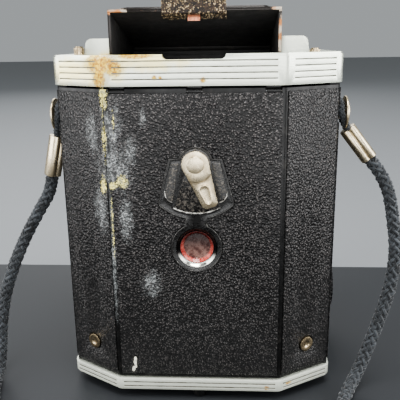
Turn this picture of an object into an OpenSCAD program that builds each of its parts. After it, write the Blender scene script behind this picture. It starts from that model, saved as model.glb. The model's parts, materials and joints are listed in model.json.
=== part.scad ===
// Reflex-finder box camera for 6 x 6 cm roll film, with a folding finder hood and a braided neck strap.
// Millimetres. +X is the operator's right, +Y is the way the lens looks, +Z is up.
// The origin is the mouth of the tripod socket, level with the soles of the feet.
// Inside the modules y is the depth from the flat rear face: from_rear() moves it to the part's frame.

/* [Body] */
// Width over the flat sides
body_w = 84; // [82:1:92]
// Depth from the rear face to the front face
body_d = 72; // [72:1:80]
// Half width of the flat part of the rear face
rear_half = 25.4; // [25:0.2:28]
// How far forward the slanted rear corners reach
corner_d = 10.4; // [9:0.2:12]
// Thickness of the moulded case
case_t = 1.8; // [1.4:0.1:2.2]
// Thickness of the sheet-metal back
back_t = 1.2; // [0.8:0.1:1.4]
// Thickness of the grained covering
skin_t = 0.4; // [0.3:0.05:0.5]

/* [Heights] */
// Underside of the base plate above the soles of the feet
base_z = 3; // [2:0.5:4]
// Top edge of the base plate
case_z = 7.1; // [6.6:0.1:7.4]
// Lower edge of the ribbed top band
band_z = 99.2; // [99:0.1:101]
// Flat deck of the top cover
deck_z = 107.8; // [107.6:0.1:109]
// Top of the raised shoulders beside the finder
shoulder_z = 112.3; // [112:0.1:114]

/* [Optics] */
// Height of the taking lens
lens_z = 46; // [45:0.5:47]
// Height of the viewing lens
view_z = 88.5; // [88:0.1:88.8]
// Side of the square film gate
gate = 57; // [56:0.5:57]
// Radius of the rim that takes a slip-on filter
rim_r = 15.9; // [15:0.1:17]

/* [Back window] */
// Height of the red window
window_z = 51.7; // [50:0.1:53]
// Radius of the red window
window_r = 5.4; // [5:0.1:6.4]
// Height of the window lever's pivot
pivot_z = 77.2; // [76:0.1:79]
// Tilt of the window lever when the window is open
lever_tilt = 19.2; // [17:0.1:22]

/* [Hood] */
// Half width of the finder hood
hood_half = 24; // [23.6:0.1:24]
// How far the hood's lid is raised
hood_tilt = 13.5; // [13:0.1:14]

/* [Strap] */
// Thickness of the braided cord
cord_d = 4.6; // [4.4:0.1:4.8]
// Radius of the bundle of turns that lies behind the camera, at its middle
coil_r = 25; // [24:0.5:27]

/* [Hidden] */
$fn = 64;

half_w = body_w / 2;
front_cut = 8;        // size of the slanted front corners
edge_r = 2.2;         // radius of the upright edges
proud = 0.6;          // how far the metal bands stand out from the case
band_t = 1.4;         // wall of the top cover
part_y = corner_d + 0.2;   // rear edge of the case; the back ends a little behind it
part_gap = 0.4;       // running clearance between the back and the case

// Back hinge, latch and window
hinge_y = 1.0;
hinge_z = 97.6;
barrel_r = 1.0;
hinge_pin_r = 0.5;
back_z0 = case_z + 0.7;
back_z1 = 98.5;
skin_z0 = 8.9;
skin_z1 = 97.6;
seam = 0.8;           // from a covering's edge to the bend of the back
knuckles = [[-24, -20], [-2, 2], [20, 24]];
barrels = [[-19.8, -2.2], [2.2, 19.8]];
rivet_at = [34.0, 5.3, 17.4];
lever_len = 13.5;
lever_swing = 2 * lever_tilt;
blade_reach = pivot_z - window_z;
rivet_r = 1.1;
latch_y = 2.6;

// Film transport
film_y = 6;
plate_x = 34;         // inner face of the film box's side plates
spool_r = 11.5;
spool_half = 32.75;
spool_bore = 2.3;
pin_r = 2.25;
supply_at = [18.3, 84.1];
take_up_at = [51, 19.2];
roller_at = [7.9, 13.9];

// Finder
mirror_y = 34.2;
field_d = 21;         // depth of the field lens, front to back
well_y0 = 1.8;
well_y1 = 46.4;
lid_pin = [44, 109.5];
lid_len = 42.1;
deck_stud_at = [33.95, 8.6];

// Strap
stud_at = [17, 89.7];
stud_x = 43.3;        // middle of the cord that loops round the stud
loop_r = 1.2;
left_len = 13.2;
right_len = 11.8;
lobe_r = [1.55, 2.35];   // half width and half depth of each crimped lobe
coil_at = [0, -58];
coil_half = cord_d + 0.1;
left_end = [-47.9, 17.8, 69.9];
right_end = [53.2, 17.6, 75.2];
left_top = left_end + left_len * unit([3, 0, 13.4]);
right_top = right_end + right_len * unit([-7.8, 0.2, 10.1]);
left_route = [left_end, [-49.6, 18, 64], [-53.6, 18, 57.5], [-58.7, 17, 48.5], [-63.1, 16, 39],
    [-66.6, 15, 29], [-68.6, 14, 19], [-69.4, 13, 10.5], [-69.3, 10, 4.6], [-68.6, 4, 2.4],
    [-65.8, -5, 2.3], [-60.5, -15, 2.3], [-52, -26, 2.3], [-42.5, -36, 2.3], [-34, -46, 2.3],
    [-28.6, -53, 2.3]];
right_route = [right_end, [56.8, 17.2, 70.6], [59.6, 16, 64.5], [61.2, 14.6, 56], [62.3, 13.4, 46.5],
    [61.6, 12.4, 37], [59.6, 11.4, 28], [56.6, 10.4, 18.5], [53.2, 8.6, 9.6], [49.8, 5.4, 4.2],
    [46.6, 0, 2.5], [43.6, -8, 2.3], [40, -17, 2.3], [36, -27, 2.3], [32.4, -37, 4.2],
    [29.8, -46, 6.2], [28, -54, 6.9]];

BLACK = [0.06, 0.06, 0.06];
SKIN = [0.13, 0.13, 0.13];
SILVER = [0.86, 0.87, 0.83];
STEEL = [0.66, 0.67, 0.68];
BRASS = [0.72, 0.60, 0.36];
GLASS = [0.75, 0.85, 0.90, 0.6];
CORD = [0.22, 0.23, 0.24];

// ---------- outlines ----------

front_half = half_w - front_cut;
corners = [[-rear_half, 0], [rear_half, 0], [half_w, corner_d], [half_w, body_d - front_cut],
    [front_half, body_d], [-front_half, body_d], [-half_w, body_d - front_cut], [-half_w, corner_d]];

function unit(v) = v / norm(v);
function outward(a, b) = let (d = unit(b - a)) [d[1], -d[0]];
function turned(v, w) = [v[0] * cos(w) - v[1] * sin(w), v[0] * sin(w) + v[1] * cos(w)];
function before(pts, i) = pts[(i + len(pts) - 1) % len(pts)];
function after(pts, i) = pts[(i + 1) % len(pts)];

// The outline moved outwards by o, corner by corner
function grown(pts, o) = [for (i = [0 : len(pts) - 1])
    let (m = outward(before(pts, i), pts[i]), n = outward(pts[i], after(pts, i)))
    pts[i] + o * (m + n) / (1 + m * n)];

// The outline with each corner turned into an arc of radius r
function rounded(pts, r, steps = 5) = [for (i = [0 : len(pts) - 1])
    let (a = unit(pts[i] - before(pts, i)), b = unit(after(pts, i) - pts[i]), n = [a[1], -a[0]],
         turn = acos(a * b), c = pts[i] - r * tan(turn / 2) * a - r * n)
    for (k = [0 : steps]) c + r * turned(n, turn * k / steps)];

module from_rear() { translate([0, -body_d / 2, 0]) children(); }

module plan(o) { polygon(rounded(grown(corners, o), edge_r + o)); }

module slab(z0, z1, o = 0) { translate([0, 0, z0]) linear_extrude(z1 - z0) plan(o); }

module box(lo, hi) { translate(lo) cube(hi - lo); }

// An outline drawn in x and z, made solid from depth y0 to y1
module upright(y0, y1) { translate([0, y1, 0]) rotate([90, 0, 0]) linear_extrude(y1 - y0) children(); }

// An outline drawn in y and z, made solid from x0 to x1
module sideways(x0, x1) { translate([x0, 0, 0]) rotate([90, 0, 90]) linear_extrude(x1 - x0) children(); }

module rod_x(x0, x1, at, r) {
    translate([x0, at[0], at[1]]) rotate([0, 90, 0]) cylinder(h = x1 - x0, r = r);
}

module rod_y(y0, y1, x, z, r) {
    translate([x, y0, z]) rotate([-90, 0, 0]) cylinder(h = y1 - y0, r = r);
}

module both_sides() { children(); mirror([1, 0, 0]) children(); }

// Puts children on face i of the plan: x runs along the face from its middle, and -y points out of it
module on_face(i) {
    a = corners[i];
    b = after(corners, i);
    m = (a + b) / 2;
    translate([m[0], m[1], 0]) rotate([0, 0, atan2(b[1] - a[1], b[0] - a[0])]) children();
}

function face_len(i) = norm(after(corners, i) - corners[i]);

// Shallow grooves along every face, which leave raised ribs and a smooth post at each corner
module grooves(levels, tall, deep, post) {
    for (i = [0 : len(corners) - 1], z = levels) let (half = face_len(i) / 2 - post)
        on_face(i) box([-half, -proud - 1, z], [half, deep - proud, z + tall]);
}

module skin_panel(i, margin, z0, z1) {
    on_face(i) box([margin - face_len(i) / 2, -skin_t, z0], [face_len(i) / 2 - margin, 0, z1]);
}

// ---------- case ----------

module body_case() {
    color(BLACK) from_rear() difference() {
        slab(case_z, band_z);
        difference() {
            slab(case_z - 1, band_z + 1, -case_t);
            box([-half_w, body_d - 9, case_z + 1.5], [-17.5, body_d - 7.8, band_z - 1.5]);
            box([17.5, body_d - 9, case_z + 1.5], [half_w, body_d - 7.8, band_z - 1.5]);
        }
        box([-half_w - 1, -5, case_z - 1], [half_w + 1, part_y, band_z + 1]);
        rod_y(body_d - case_t - 1, body_d + 1, 0, lens_z, 12);
        rod_y(body_d - case_t - 1, body_d + 1, 0, view_z, 8.4);
        rod_x(half_w - case_t - 1, half_w + 1, take_up_at, 4.05);
        both_sides() rod_x(half_w - case_t - 1, half_w + 1, stud_at, 1.5);
        both_sides() for (s = screw_at) rod_y(body_d - case_t - 1, body_d + 1, s[0], s[1], 0.97);
    }
}

shoulder_y0 = 8.5;
shoulder_y1 = 64;
shoulder_in = hood_half + 0.5;
shoulder_out = 32;
shoulder_r = 1.8;

// Cross-section of one raised shoulder, with a rounded outer top edge and a slight outward draft
module shoulder_outline(o) {
    top = shoulder_z - o;
    polygon([[shoulder_in + o, deck_z - 2 * o], [shoulder_in + o, top], [shoulder_out - shoulder_r, top],
        for (w = [75 : -15 : 0]) [shoulder_out - o, top] + shoulder_r * [cos(w) - 1, sin(w) - 1],
        [shoulder_out + 0.4 - o, deck_z - 2 * o]]);
}

module top_cover() {
    color(SILVER) from_rear() difference() {
        union() {
            slab(band_z, deck_z - 0.5, proud);
            slab(deck_z - 0.5, deck_z, proud - 0.4);
            both_sides() upright(shoulder_y0, shoulder_y1) shoulder_outline(0);
            box([-shoulder_in - 1, well_y1 + 0.4, deck_z - 0.1], [shoulder_in + 1, shoulder_y1, shoulder_z]);
        }
        difference() {
            slab(band_z - 1, deck_z - band_t, proud - band_t);
            box([-9, shoulder_y1 - 6, deck_z - 4], [9, shoulder_y1, deck_z]);
        }
        grooves([100.95, 102.6, 104.25, 105.9], 0.35, 0.45, 2.4);
        box([-hood_half - 0.4, well_y0, band_z], [hood_half + 0.4, well_y1, shoulder_z + 1]);
        both_sides() upright(shoulder_y0 + 1.2, shoulder_y1 - 1.2) shoulder_outline(1.2);
        box([-shoulder_in, well_y1 + 1.6, deck_z - 2], [shoulder_in, shoulder_y1 - 1.2, shoulder_z - 1.2]);
        upright(-2, well_y0 + 1) finger_notch();
        rod_x(-shoulder_in - 2, shoulder_in + 2, lid_pin, 0.75);
        both_sides() translate([deck_stud_at[0], deck_stud_at[1], deck_z - 4]) cylinder(h = 5, r = 1.52);
    }
}

// Wide shallow notch in the rear rim, with rounded lower corners
notch_half = 8.8;
notch_d = 1.4;
module finger_notch() {
    translate([notch_d - notch_half, deck_z - notch_d]) square([2 * (notch_half - notch_d), notch_d + 1]);
    for (x = [notch_d - notch_half, notch_half - notch_d]) translate([x, deck_z]) circle(r = notch_d);
}

floor_z = 4.6;
module base_plate() {
    color(SILVER) from_rear() difference() {
        union() {
            slab(base_z, base_z + 0.7, proud - 0.5);
            slab(base_z + 0.7, case_z, proud);
        }
        slab(base_z - 1, floor_z, proud - 1.6);
        grooves([4.3, 5.7], 0.4, 0.4, 1.2);
        translate([0, body_d / 2, 0]) cylinder(h = 20, r = 4.55);
        box([-7.8, latch_y - 1.5, base_z - 1], [1.5, latch_y + 1.5, case_z + 1]);
        for (x = [-foot_x, foot_x], y = foot_y) translate([x, y, base_z - 1]) cylinder(h = 20, r = 1.6);
        both_sides() for (y = foot_y) translate([foot_x, y, 0]) cylinder(h = floor_z, r = 3.6);
    }
}

foot_x = 30;
foot_y = [14, 60];

module tripod_bush() {
    color(STEEL) difference() {
        union() {
            cylinder(h = 7.9, r = 4.5);
            translate([0, 0, base_z]) cylinder(h = floor_z - base_z, r = 6.5);
        }
        translate([0, 0, -1]) cylinder(h = 7.9, r = 2.55);
    }
}

module feet() {
    color(BLACK) from_rear() both_sides() for (y = foot_y) translate([foot_x, y, 0]) {
        translate([0, 0, 0.5]) cylinder(h = floor_z - 0.5, r = 3.5);
        cylinder(h = 0.5, r1 = 3.0, r2 = 3.5);
        cylinder(h = case_z + 0.2, r = 1.5);
    }
}

module side_leathers() {
    color(SKIN) from_rear() difference() {
        for (i = [2, 6]) skin_panel(i, 1, skin_z0, skin_z1);
        rod_x(half_w - 1, half_w + 1, take_up_at, 11.2);
        both_sides() rod_x(half_w - 1, half_w + 1, stud_at, 6);
    }
}

// ---------- front ----------

plate_half = 26;
plate_z0 = 12;
plate_z1 = 98.6;
plate_y1 = body_d + 1.5;
screw_at = [[22, 15.5], [22, 95]];

module front_plate() {
    color(SILVER) from_rear() difference() {
        upright(body_d, plate_y1) polygon(rounded([[-plate_half, plate_z0], [plate_half, plate_z0],
            [plate_half, plate_z1], [-plate_half, plate_z1]], 3));
        for (x = [-15 : 3 : 15]) box([x - 0.7, plate_y1 - 0.4, 66.5], [x + 0.7, plate_y1 + 1, 76]);
        for (x = [-15 : 3 : 15]) box([x - 0.7, plate_y1 - 0.4, 15], [x + 0.7, plate_y1 + 1, 25.4]);
        rod_y(body_d - 1, plate_y1 + 1, 0, lens_z, 12);
        rod_y(body_d - 1, plate_y1 + 1, 0, view_z, 8.4);
        both_sides() for (s = screw_at) rod_y(body_d - 1, plate_y1 + 1, s[0], s[1], 1.0);
    }
}

module front_screws() {
    color(STEEL) from_rear() both_sides() for (s = screw_at) difference() {
        union() {
            rod_y(body_d - case_t, plate_y1, s[0], s[1], 0.95);
            rod_y(plate_y1, plate_y1 + 0.7, s[0], s[1], 1.8);
        }
        box([s[0] - 2, plate_y1 + 0.35, s[1] - 0.25], [s[0] + 2, plate_y1 + 1, s[1] + 0.25]);
    }
}

// A lens made of two spherical faces, on the y axis at depth y0 to y1, with edge radius r
module lens(x, z, y0, y1, r, edge) {
    bulge = (y1 - y0 - edge) / 2;
    ball = (r * r + bulge * bulge) / (2 * bulge);
    translate([x, (y0 + y1) / 2, z]) rotate([90, 0, 0]) intersection() {
        translate([0, 0, edge / 2 + bulge - ball]) sphere(r = ball, $fn = 240);
        translate([0, 0, ball - edge / 2 - bulge]) sphere(r = ball, $fn = 240);
        translate([0, 0, -10]) cylinder(h = 20, r = r, $fn = 240);
    }
}

module viewing_lens_ring() {
    color(SILVER) from_rear() difference() {
        union() {
            rod_y(plate_y1, plate_y1 + 4.5, 0, view_z, 9.9);
            rod_y(body_d - 4, plate_y1 + 1, 0, view_z, 8.35);
        }
        rod_y(body_d - 5, plate_y1 + 0.6, 0, view_z, 7.3);
        rod_y(plate_y1 + 0.6, plate_y1 + 5, 0, view_z, 8.25);
    }
}

module viewing_lens() {
    color(GLASS) from_rear() lens(0, view_z, plate_y1 + 0.6, plate_y1 + 3.8, 8.2, 1.4);
}

house_y0 = plate_y1;
house_y1 = plate_y1 + 10.5;
house_r = 19;
cell_r = 9.2;
cell_y0 = plate_y1 + 3.5;
lens_r = 7.2;
release_y = plate_y1 + 3.9;
select_y = plate_y1 + 6.1;

module lens_housing() {
    color(SILVER) from_rear() difference() {
        union() {
            difference() {
                rod_y(house_y0, house_y1, 0, lens_z, house_r);
                rod_y(house_y0 - 1, house_y1 - 1.2, 0, lens_z, house_r - 1.4);
            }
            difference() {
                rod_y(house_y1 - 0.5, house_y1 + 5, 0, lens_z, rim_r);
                rod_y(house_y1, house_y1 + 6, 0, lens_z, rim_r - 1.2);
            }
            rod_y(cell_y0, house_y1, 0, lens_z, cell_r);
        }
        rod_y(cell_y0 - 1, house_y1 - 4.4, 0, lens_z, 6);
        rod_y(house_y1 - 4.4, house_y1 + 6, 0, lens_z, lens_r + 0.05);
        lens_slot(release_y, -26, 6);
        lens_slot(select_y, 79, 110);
    }
}

// A slot in the housing's wall for a lever that turns about the lens axis
module lens_slot(y, w0, w1) {
    upright(y - 0.3, y + 1.1) translate([0, lens_z])
        polygon([[0, 0], for (w = [w0 : (w1 - w0) / 4 : w1]) 26 * [cos(w), sin(w)]]);
}

// A flat ring on the lens cell, with an arm that reaches out through the housing's slot at angle w
module lens_lever(y, w, reach, ring_r) {
    difference() {
        union() {
            rod_y(y, y + 0.8, 0, lens_z, ring_r);
            translate([0, 0, lens_z]) rotate([0, -w, 0]) {
                box([cell_r + 0.4, y, -1.3], [reach, y + 0.8, 1.3]);
                box([reach - 3, y - 0.9, -2.2], [reach, y + 1.7, 2.2]);
            }
        }
        rod_y(y - 1, y + 2, 0, lens_z, cell_r + 0.08);
    }
}

module release_lever() { color(STEEL) from_rear() lens_lever(release_y, 0, 24.5, 12.6); }

module selector_lever() { color(STEEL) from_rear() lens_lever(select_y, 84, 23, 12); }

module taking_lens() {
    color(GLASS) from_rear() lens(0, lens_z, house_y1 - 4.3, house_y1 - 0.6, lens_r, 1.6);
}

module lens_retainer() {
    color(BLACK) from_rear() difference() {
        union() {
            rod_y(house_y1 - 1.2, house_y1 + 0.9, 0, lens_z, lens_r);
            rod_y(house_y1 + 0.05, house_y1 + 0.9, 0, lens_z, 12.5);
        }
        rod_y(house_y1 - 2, house_y1 + 2, 0, lens_z, 6.2);
    }
}

shutter_pivot = 11;
module shutter_plate() {
    color(BLACK) from_rear() difference() {
        union() {
            rod_y(plate_y1, plate_y1 + 0.8, 0, lens_z, house_r - 1.6);
            rod_y(plate_y1, plate_y1 + 3.2, 0, lens_z + shutter_pivot, 0.9);
            rod_y(plate_y1, plate_y1 + 1.6, 11, lens_z - 9, 0.6);
        }
        rod_y(plate_y1 - 1, plate_y1 + 2, 0, lens_z, 4.2);
    }
}

module shutter_blade() {
    color(STEEL) from_rear() difference() {
        upright(plate_y1 + 1.2, plate_y1 + 1.5) {
            translate([0, lens_z]) circle(r = 5.6);
            translate([-1.6, lens_z]) square([3.2, shutter_pivot]);
            translate([0, lens_z + shutter_pivot]) circle(r = 2.2);
        }
        rod_y(plate_y1 + 1, plate_y1 + 2, 0, lens_z + shutter_pivot, 0.95);
    }
}

// A small torsion spring round the shutter's pivot, with one leg to the plate's post
module shutter_spring() {
    color(STEEL) from_rear() {
        for (k = [0 : 2]) translate([0, plate_y1 + 1.9 + 0.4 * k, lens_z + shutter_pivot]) rotate([90, 0, 0])
            rotate_extrude() translate([1.45, 0]) circle(r = 0.21, $fn = 16);
        translate([1.4, plate_y1 + 2.0, lens_z + shutter_pivot]) rotate([0, 155, 0])
            cylinder(h = 7, r = 0.2, $fn = 16);
    }
}

// ---------- film box, spools and winding ----------

cone_y1 = 66;
function cone_half(y) = gate / 2 - (y - film_y - 1) * (gate / 2 - 8) / (cone_y1 - film_y - 1);

// A four-sided tapered tube from the gate to the lens, drawn o thicker than the light path
module light_cone(o, y0, y1) {
    hull() for (y = [y0, y1 - 0.01]) {
        h = cone_half(y) + o;
        box([-h, y, lens_z - h], [h, y + 0.01, lens_z + h]);
    }
}

// The gate plate bends forward at its sides, clear of the slanted corners of the back
gate_half = 31.0;
gate_bend = [[-plate_x - 1, 11], [-plate_x - 1, 9.9], [-gate_half, film_y], [gate_half, film_y],
    [plate_x + 1, 9.9], [plate_x + 1, 11], [plate_x, 11], [gate_half - 0.5, film_y + 1],
    [0.5 - gate_half, film_y + 1], [-plate_x, 11]];

module film_box() {
    color(BLACK) from_rear() difference() {
        union() {
            both_sides() difference() {
                box([plate_x, 10, case_z + 0.3], [plate_x + 1, 63, 97.5]);
                box([plate_x - 1, 36, 36], [plate_x + 2, 60, 94]);
                rod_x(plate_x - 1, plate_x + 2, supply_at, spool_bore);
                rod_x(plate_x - 1, plate_x + 2, take_up_at, spool_bore);
            }
            translate([0, 0, lens_z - gate / 2 - 0.9]) linear_extrude(gate + 2.1) polygon(gate_bend);
            both_sides() sideways(31.1, 31.8) translate(roller_at) difference() {
                translate([-1.15, -2]) square([2.85, 5.4]);
                circle(r = 0.75);
            }
            both_sides() box([18, 30, 35], [plate_x + 0.5, 31, 57]);
            light_cone(0.8, film_y + 0.9, cone_y1);
            box([-12, cone_y1 - 0.8, lens_z - 12], [12, body_d - case_t, lens_z + 12]);
        }
        light_cone(0, film_y - 1, cone_y1 + 0.5);
        rod_y(cone_y1 - 2, body_d, 0, lens_z, 8);
    }
}

// Three fixed pins on which the spools turn; the fourth is the winding shaft
module spool_pins() {
    color(STEEL) from_rear() {
        both_sides() spool_pin(supply_at);
        mirror([1, 0, 0]) spool_pin(take_up_at);
    }
}
module spool_pin(at) {
    rod_x(30, plate_x + 1.2, at, pin_r);
    rod_x(plate_x + 1.02, plate_x + 2.2, at, 3.6);
}

module spool(at) {
    difference() {
        union() {
            rod_x(-spool_half, spool_half, at, 4.7);
            both_sides() rod_x(spool_half - 0.9, spool_half, at, spool_r);
        }
        rod_x(-spool_half - 1, spool_half + 1, at, spool_bore);
        box([-spool_half - 1, at[0] - 0.5, at[1] - 3.6], [spool_half + 1, at[0] + 0.5, at[1] + 3.6]);
        box([-20, at[0] - 0.4, at[1]], [20, at[0] + 0.4, at[1] + 6]);
    }
}

module supply_spool() { color(BLACK) from_rear() spool(supply_at); }

module take_up_spool() { color(BLACK) from_rear() spool(take_up_at); }

module film_roller() {
    color(STEEL) from_rear() {
        rod_x(-30.8, 30.8, roller_at, 1.75);
        rod_x(-31.8, 31.8, roller_at, 0.7);
    }
}

collar_x0 = 37.3;
knob_x0 = half_w + 1.6;
knob_x1 = knob_x0 + 5;
knob_r = 9.5;

module wind_collar() {
    color(STEEL) from_rear() difference() {
        union() {
            rod_x(collar_x0, half_w + 1.4, take_up_at, 3.97);
            rod_x(half_w + 0.6, half_w + 1.4, take_up_at, 5.5);
        }
        rod_x(collar_x0 - 1, half_w + 3, take_up_at, spool_bore);
    }
}

module wind_shaft() {
    color(STEEL) from_rear() {
        rod_x(29.6, knob_x0 + 2.5, take_up_at, pin_r);
        rod_x(36.2, 37, take_up_at, 3.4);
    }
}

// The knob has a dished face and a knurled edge
module wind_knob() {
    color(BLACK) from_rear() difference() {
        rod_x(knob_x0, knob_x1, take_up_at, knob_r);
        rod_x(knob_x0 - 1, knob_x0 + 2.55, take_up_at, pin_r + 0.02);
        rod_x(knob_x1 - 0.8, knob_x1 + 1, take_up_at, 6.4);
        translate([0, take_up_at[0], take_up_at[1]]) for (k = [0 : 29]) rotate([k * 12, 0, 0])
            rod_x(knob_x0 + 0.9, knob_x1 + 1, [knob_r + 0.35, 0], 0.7, $fn = 16);
    }
}

// ---------- reflex finder and hood ----------

cheek_x = 21.8;
module slanted(y_off, thick, half_x, half_len) {
    translate([0, mirror_y, view_z]) rotate([45, 0, 0]) translate([-half_x, y_off - thick, -half_len])
        cube([2 * half_x, thick, 2 * half_len]);
}

module finder_mirror() {
    color([0.75, 0.8, 0.85]) from_rear() slanted(0, 1.5, 21.5, 17);
}

cradle_sum = mirror_y + view_z - 3.3;   // y + z along the cradle's slanted lower edge
module mirror_cradle() {
    color(BLACK) from_rear() {
        slanted(-1.52, 0.8, cheek_x + 0.8, 17.4);
        both_sides() sideways(cheek_x, cheek_x + 0.8)
            polygon([[cradle_sum - 99.6, 99.6], [cradle_sum - 75, 75], [60, 75], [60, 99],
                [47, 104], [22.4, 104]]);
        difference() {
            box([-cheek_x - 0.8, 59.2, 75], [cheek_x + 0.8, 60, 99]);
            rod_y(58, 61, 0, view_z, 10);
        }
    }
}

lens_y0 = mirror_y - field_d / 2;
lens_y1 = mirror_y + field_d / 2;
module field_lens() {
    color(GLASS) from_rear() intersection() {
        box([-21.4, lens_y0, 102.6], [21.4, lens_y1, 108]);
        translate([0, mirror_y, 106.2 - 90]) sphere(r = 90, $fn = 180);
    }
}

module finder_frame() {
    color(BLACK) from_rear() difference() {
        union() {
            box([-22.6, lens_y0 - 1.2, 102], [22.6, lens_y1 + 1.2, 104.05]);
            box([-22.6, lens_y0 - 1.2, 104.05], [22.6, lens_y1 + 1.2, 106.9]);
        }
        box([-21.45, lens_y0 - 0.05, 102.58], [21.45, lens_y1 + 0.05, 110]);
        box([-19.5, lens_y0 + 1.5, 100], [19.5, lens_y1 - 1.5, 110]);
        box([-23, lens_y0 - 2, 101], [-cheek_x + 0.02, lens_y1 + 3, 104.03]);
        box([cheek_x - 0.02, lens_y0 - 2, 101], [23, lens_y1 + 3, 104.03]);
    }
}

// Sheet pan below the hood, which keeps light out of the case; the finder stands through its floor
pan_z = 97.0;
module well_pan() {
    color(BLACK) from_rear() {
        difference() {
            box([-hood_half - 1, well_y0 - 0.15, pan_z], [hood_half + 1, well_y1 + 0.2, deck_z - band_t]);
            box([-hood_half - 0.5, well_y0 + 0.3, pan_z + 0.5], [hood_half + 0.5, well_y1 - 0.3, deck_z]);
            box([-22.7, mirror_y - 15, pan_z - 1], [22.7, well_y1 + 1, deck_z]);
            rod_x(-hood_half - 2, hood_half + 2, hinge_at, 1.7);
        }
        box([-hood_half - 0.3, well_y1 - 0.45, 104.4], [hood_half + 0.3, well_y1 - 0.05, lid_pin[1] - 0.9]);
    }
}

// The lid and what is on it are drawn closed about the hood's pin, and then raised
module raised_lid() {
    from_rear() translate([0, lid_pin[0], lid_pin[1]]) rotate([-hood_tilt, 0, 0]) children();
}

lid_t = 0.8;
module hood_lid() {
    color(BLACK) raised_lid() difference() {
        union() {
            box([-hood_half, -lid_len, -0.2], [hood_half, 0, lid_t - 0.2]);
            translate([0, 0, lid_t - 0.25]) linear_extrude(0.5) lid_panel(0);
            translate([0, 0, lid_t + 0.2]) linear_extrude(0.35) lid_panel(0.5);
            rod_x(-hood_half, hood_half, [0, 0], 1.3);
        }
        rod_x(-hood_half - 1, hood_half + 1, [0, 0], 0.72);
    }
}
module lid_panel(o) {
    polygon(rounded([[-21.8 + o, -lid_len + 0.1 + o], [21.8 - o, -lid_len + 0.1 + o], [21.8 - o, -4 - o],
        [-21.8 + o, -4 - o]], 3));
}

// Two triangular leaves that hang from the lid and shade the finder from the side
module hood_wings() {
    color(BLACK) raised_lid() both_sides() sideways(hood_half - 0.8, hood_half)
        polygon([[-lid_len, -0.2], [-39.6, -11.1], [-5.2, -3.9], [-2.6, -1.6], [-2.6, -0.2]]);
}

// Finger tab: a strip under the lid's rear edge, bent up behind it
tab_half = 8.8;
module hood_tab() {
    color([0.45, 0.38, 0.26]) raised_lid() sideways(-tab_half, tab_half) translate([-lid_len, 0])
        polygon([[-0.75, -1.0], [5, -1.0], [5, -0.2], [-0.13, -0.2], [-1.38, 5.66], [-2.16, 5.49],
            [-0.83, -0.6]]);
}

module hood_catch() {
    color([0.72, 0.42, 0.28]) raised_lid() {
        box([-1.7, -lid_len + 0.25, -1.4], [1.7, -lid_len + 3.2, -1.0]);
        box([-1.7, -lid_len + 0.25, -2.8], [1.7, -lid_len + 0.6, -1.0]);
    }
}

module hood_pin() { color(STEEL) from_rear() rod_x(-shoulder_in - 1.0, shoulder_in + 1.0, lid_pin, 0.7); }

// ---------- back ----------

hinge_at = [hinge_y, hinge_z];

module hinge_leaf() {
    color(STEEL) from_rear() {
        box([-25, 0.85, band_z], [25, 1.55, 105.5]);
        for (k = knuckles) difference() {
            union() {
                rod_x(k[0], k[1], hinge_at, barrel_r);
                box([k[0], 0.85, hinge_z], [k[1], 1.55, band_z + 0.1]);
            }
            rod_x(k[0] - 1, k[1] + 1, hinge_at, hinge_pin_r + 0.02);
        }
    }
}

module back_hinge_pin() { color(STEEL) from_rear() rod_x(-24.2, 24.2, hinge_at, hinge_pin_r); }

module back_shell() {
    color(BLACK) from_rear() difference() {
        union() {
            difference() {
                slab(back_z0, back_z1);
                slab(back_z0 - 1, back_z1 + 1, -back_t);
                box([-half_w - 1, part_y - part_gap, 0], [half_w + 1, body_d + 1, 120]);
                for (k = knuckles) box([k[0] - 0.3, -1, hinge_z - 1.3], [k[1] + 0.3, 3, back_z1 + 1]);
            }
            for (b = barrels) rod_x(b[0], b[1], hinge_at, barrel_r);
        }
        for (b = barrels) rod_x(b[0] - 1, b[1] + 1, hinge_at, hinge_pin_r + 0.05);
        rod_y(-1, 3, 0, window_z, window_r - 0.4);
        rod_y(-1, 3, 0, pivot_z, rivet_r + 0.05);
        both_sides() rivet_place() rod_y(-1, 3, 0, 0, 1.05);
    }
}

// The middle of the rivet on the slanted corner, with -y pointing out of the face
module rivet_place() {
    along = norm([rivet_at[0] - rear_half, rivet_at[1]]);
    on_face(1) translate([along - face_len(1) / 2, 0, rivet_at[2]]) children();
}

module back_leather() {
    color(SKIN) from_rear() difference() {
        skin_panel(0, seam, skin_z0, skin_z1 - 0.4);
        upright(-1, 1) frame_outline(0.05);
    }
}

module corner_leathers() {
    color(SKIN) from_rear() difference() {
        for (i = [1, 7]) skin_panel(i, seam, skin_z0, skin_z1);
        both_sides() rivet_place() rod_y(-2, 1, 0, 0, 2.8);
    }
}

module back_rivets() {
    color(BRASS) from_rear() both_sides() rivet_place() difference() {
        union() {
            rod_y(-0.75, -0.02, 0, 0, 2.4);
            rod_y(-0.3, back_t + 0.62, 0, 0, 1.0);
            rod_y(back_t + 0.34, back_t + 0.62, 0, 0, 1.9);
        }
        translate([0, -2.6, 0]) sphere(r = 2.2);
    }
}

// Outline of the window's frame: a round end, a narrow neck, and a shield under an arch
module frame_outline(o) {
    translate([0, window_z]) circle(r = window_r + 2.4 + o);
    translate([-3.2 - o, window_z]) square([6.4 + 2 * o, 12]);
    translate([0, pivot_z]) circle(r = 5.2 + o);
    intersection() {
        translate([0, pivot_z]) circle(r = 16.8 + o);
        polygon([[-12 - o, 58], [12 + o, 58], [11.2 + o, 65.6], [7.8 + o, 78.9 + o], [-7.8 - o, 78.9 + o],
            [-11.2 - o, 65.6]]);
    }
}

module sector_outline() {
    intersection() {
        translate([0, pivot_z]) circle(r = 15);
        polygon([[0, pivot_z + 6], [-7.9, pivot_z - 17], [8.6, pivot_z - 17]]);
    }
    translate([0, pivot_z]) circle(r = 4.4);
}

// Grained field on each side of the smooth sector
side_field = [[6.9, 65.7], [8.2, 66.2], [9.1, 67.6], [7.1, 77.6], [4.8, 77.6]];

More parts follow.
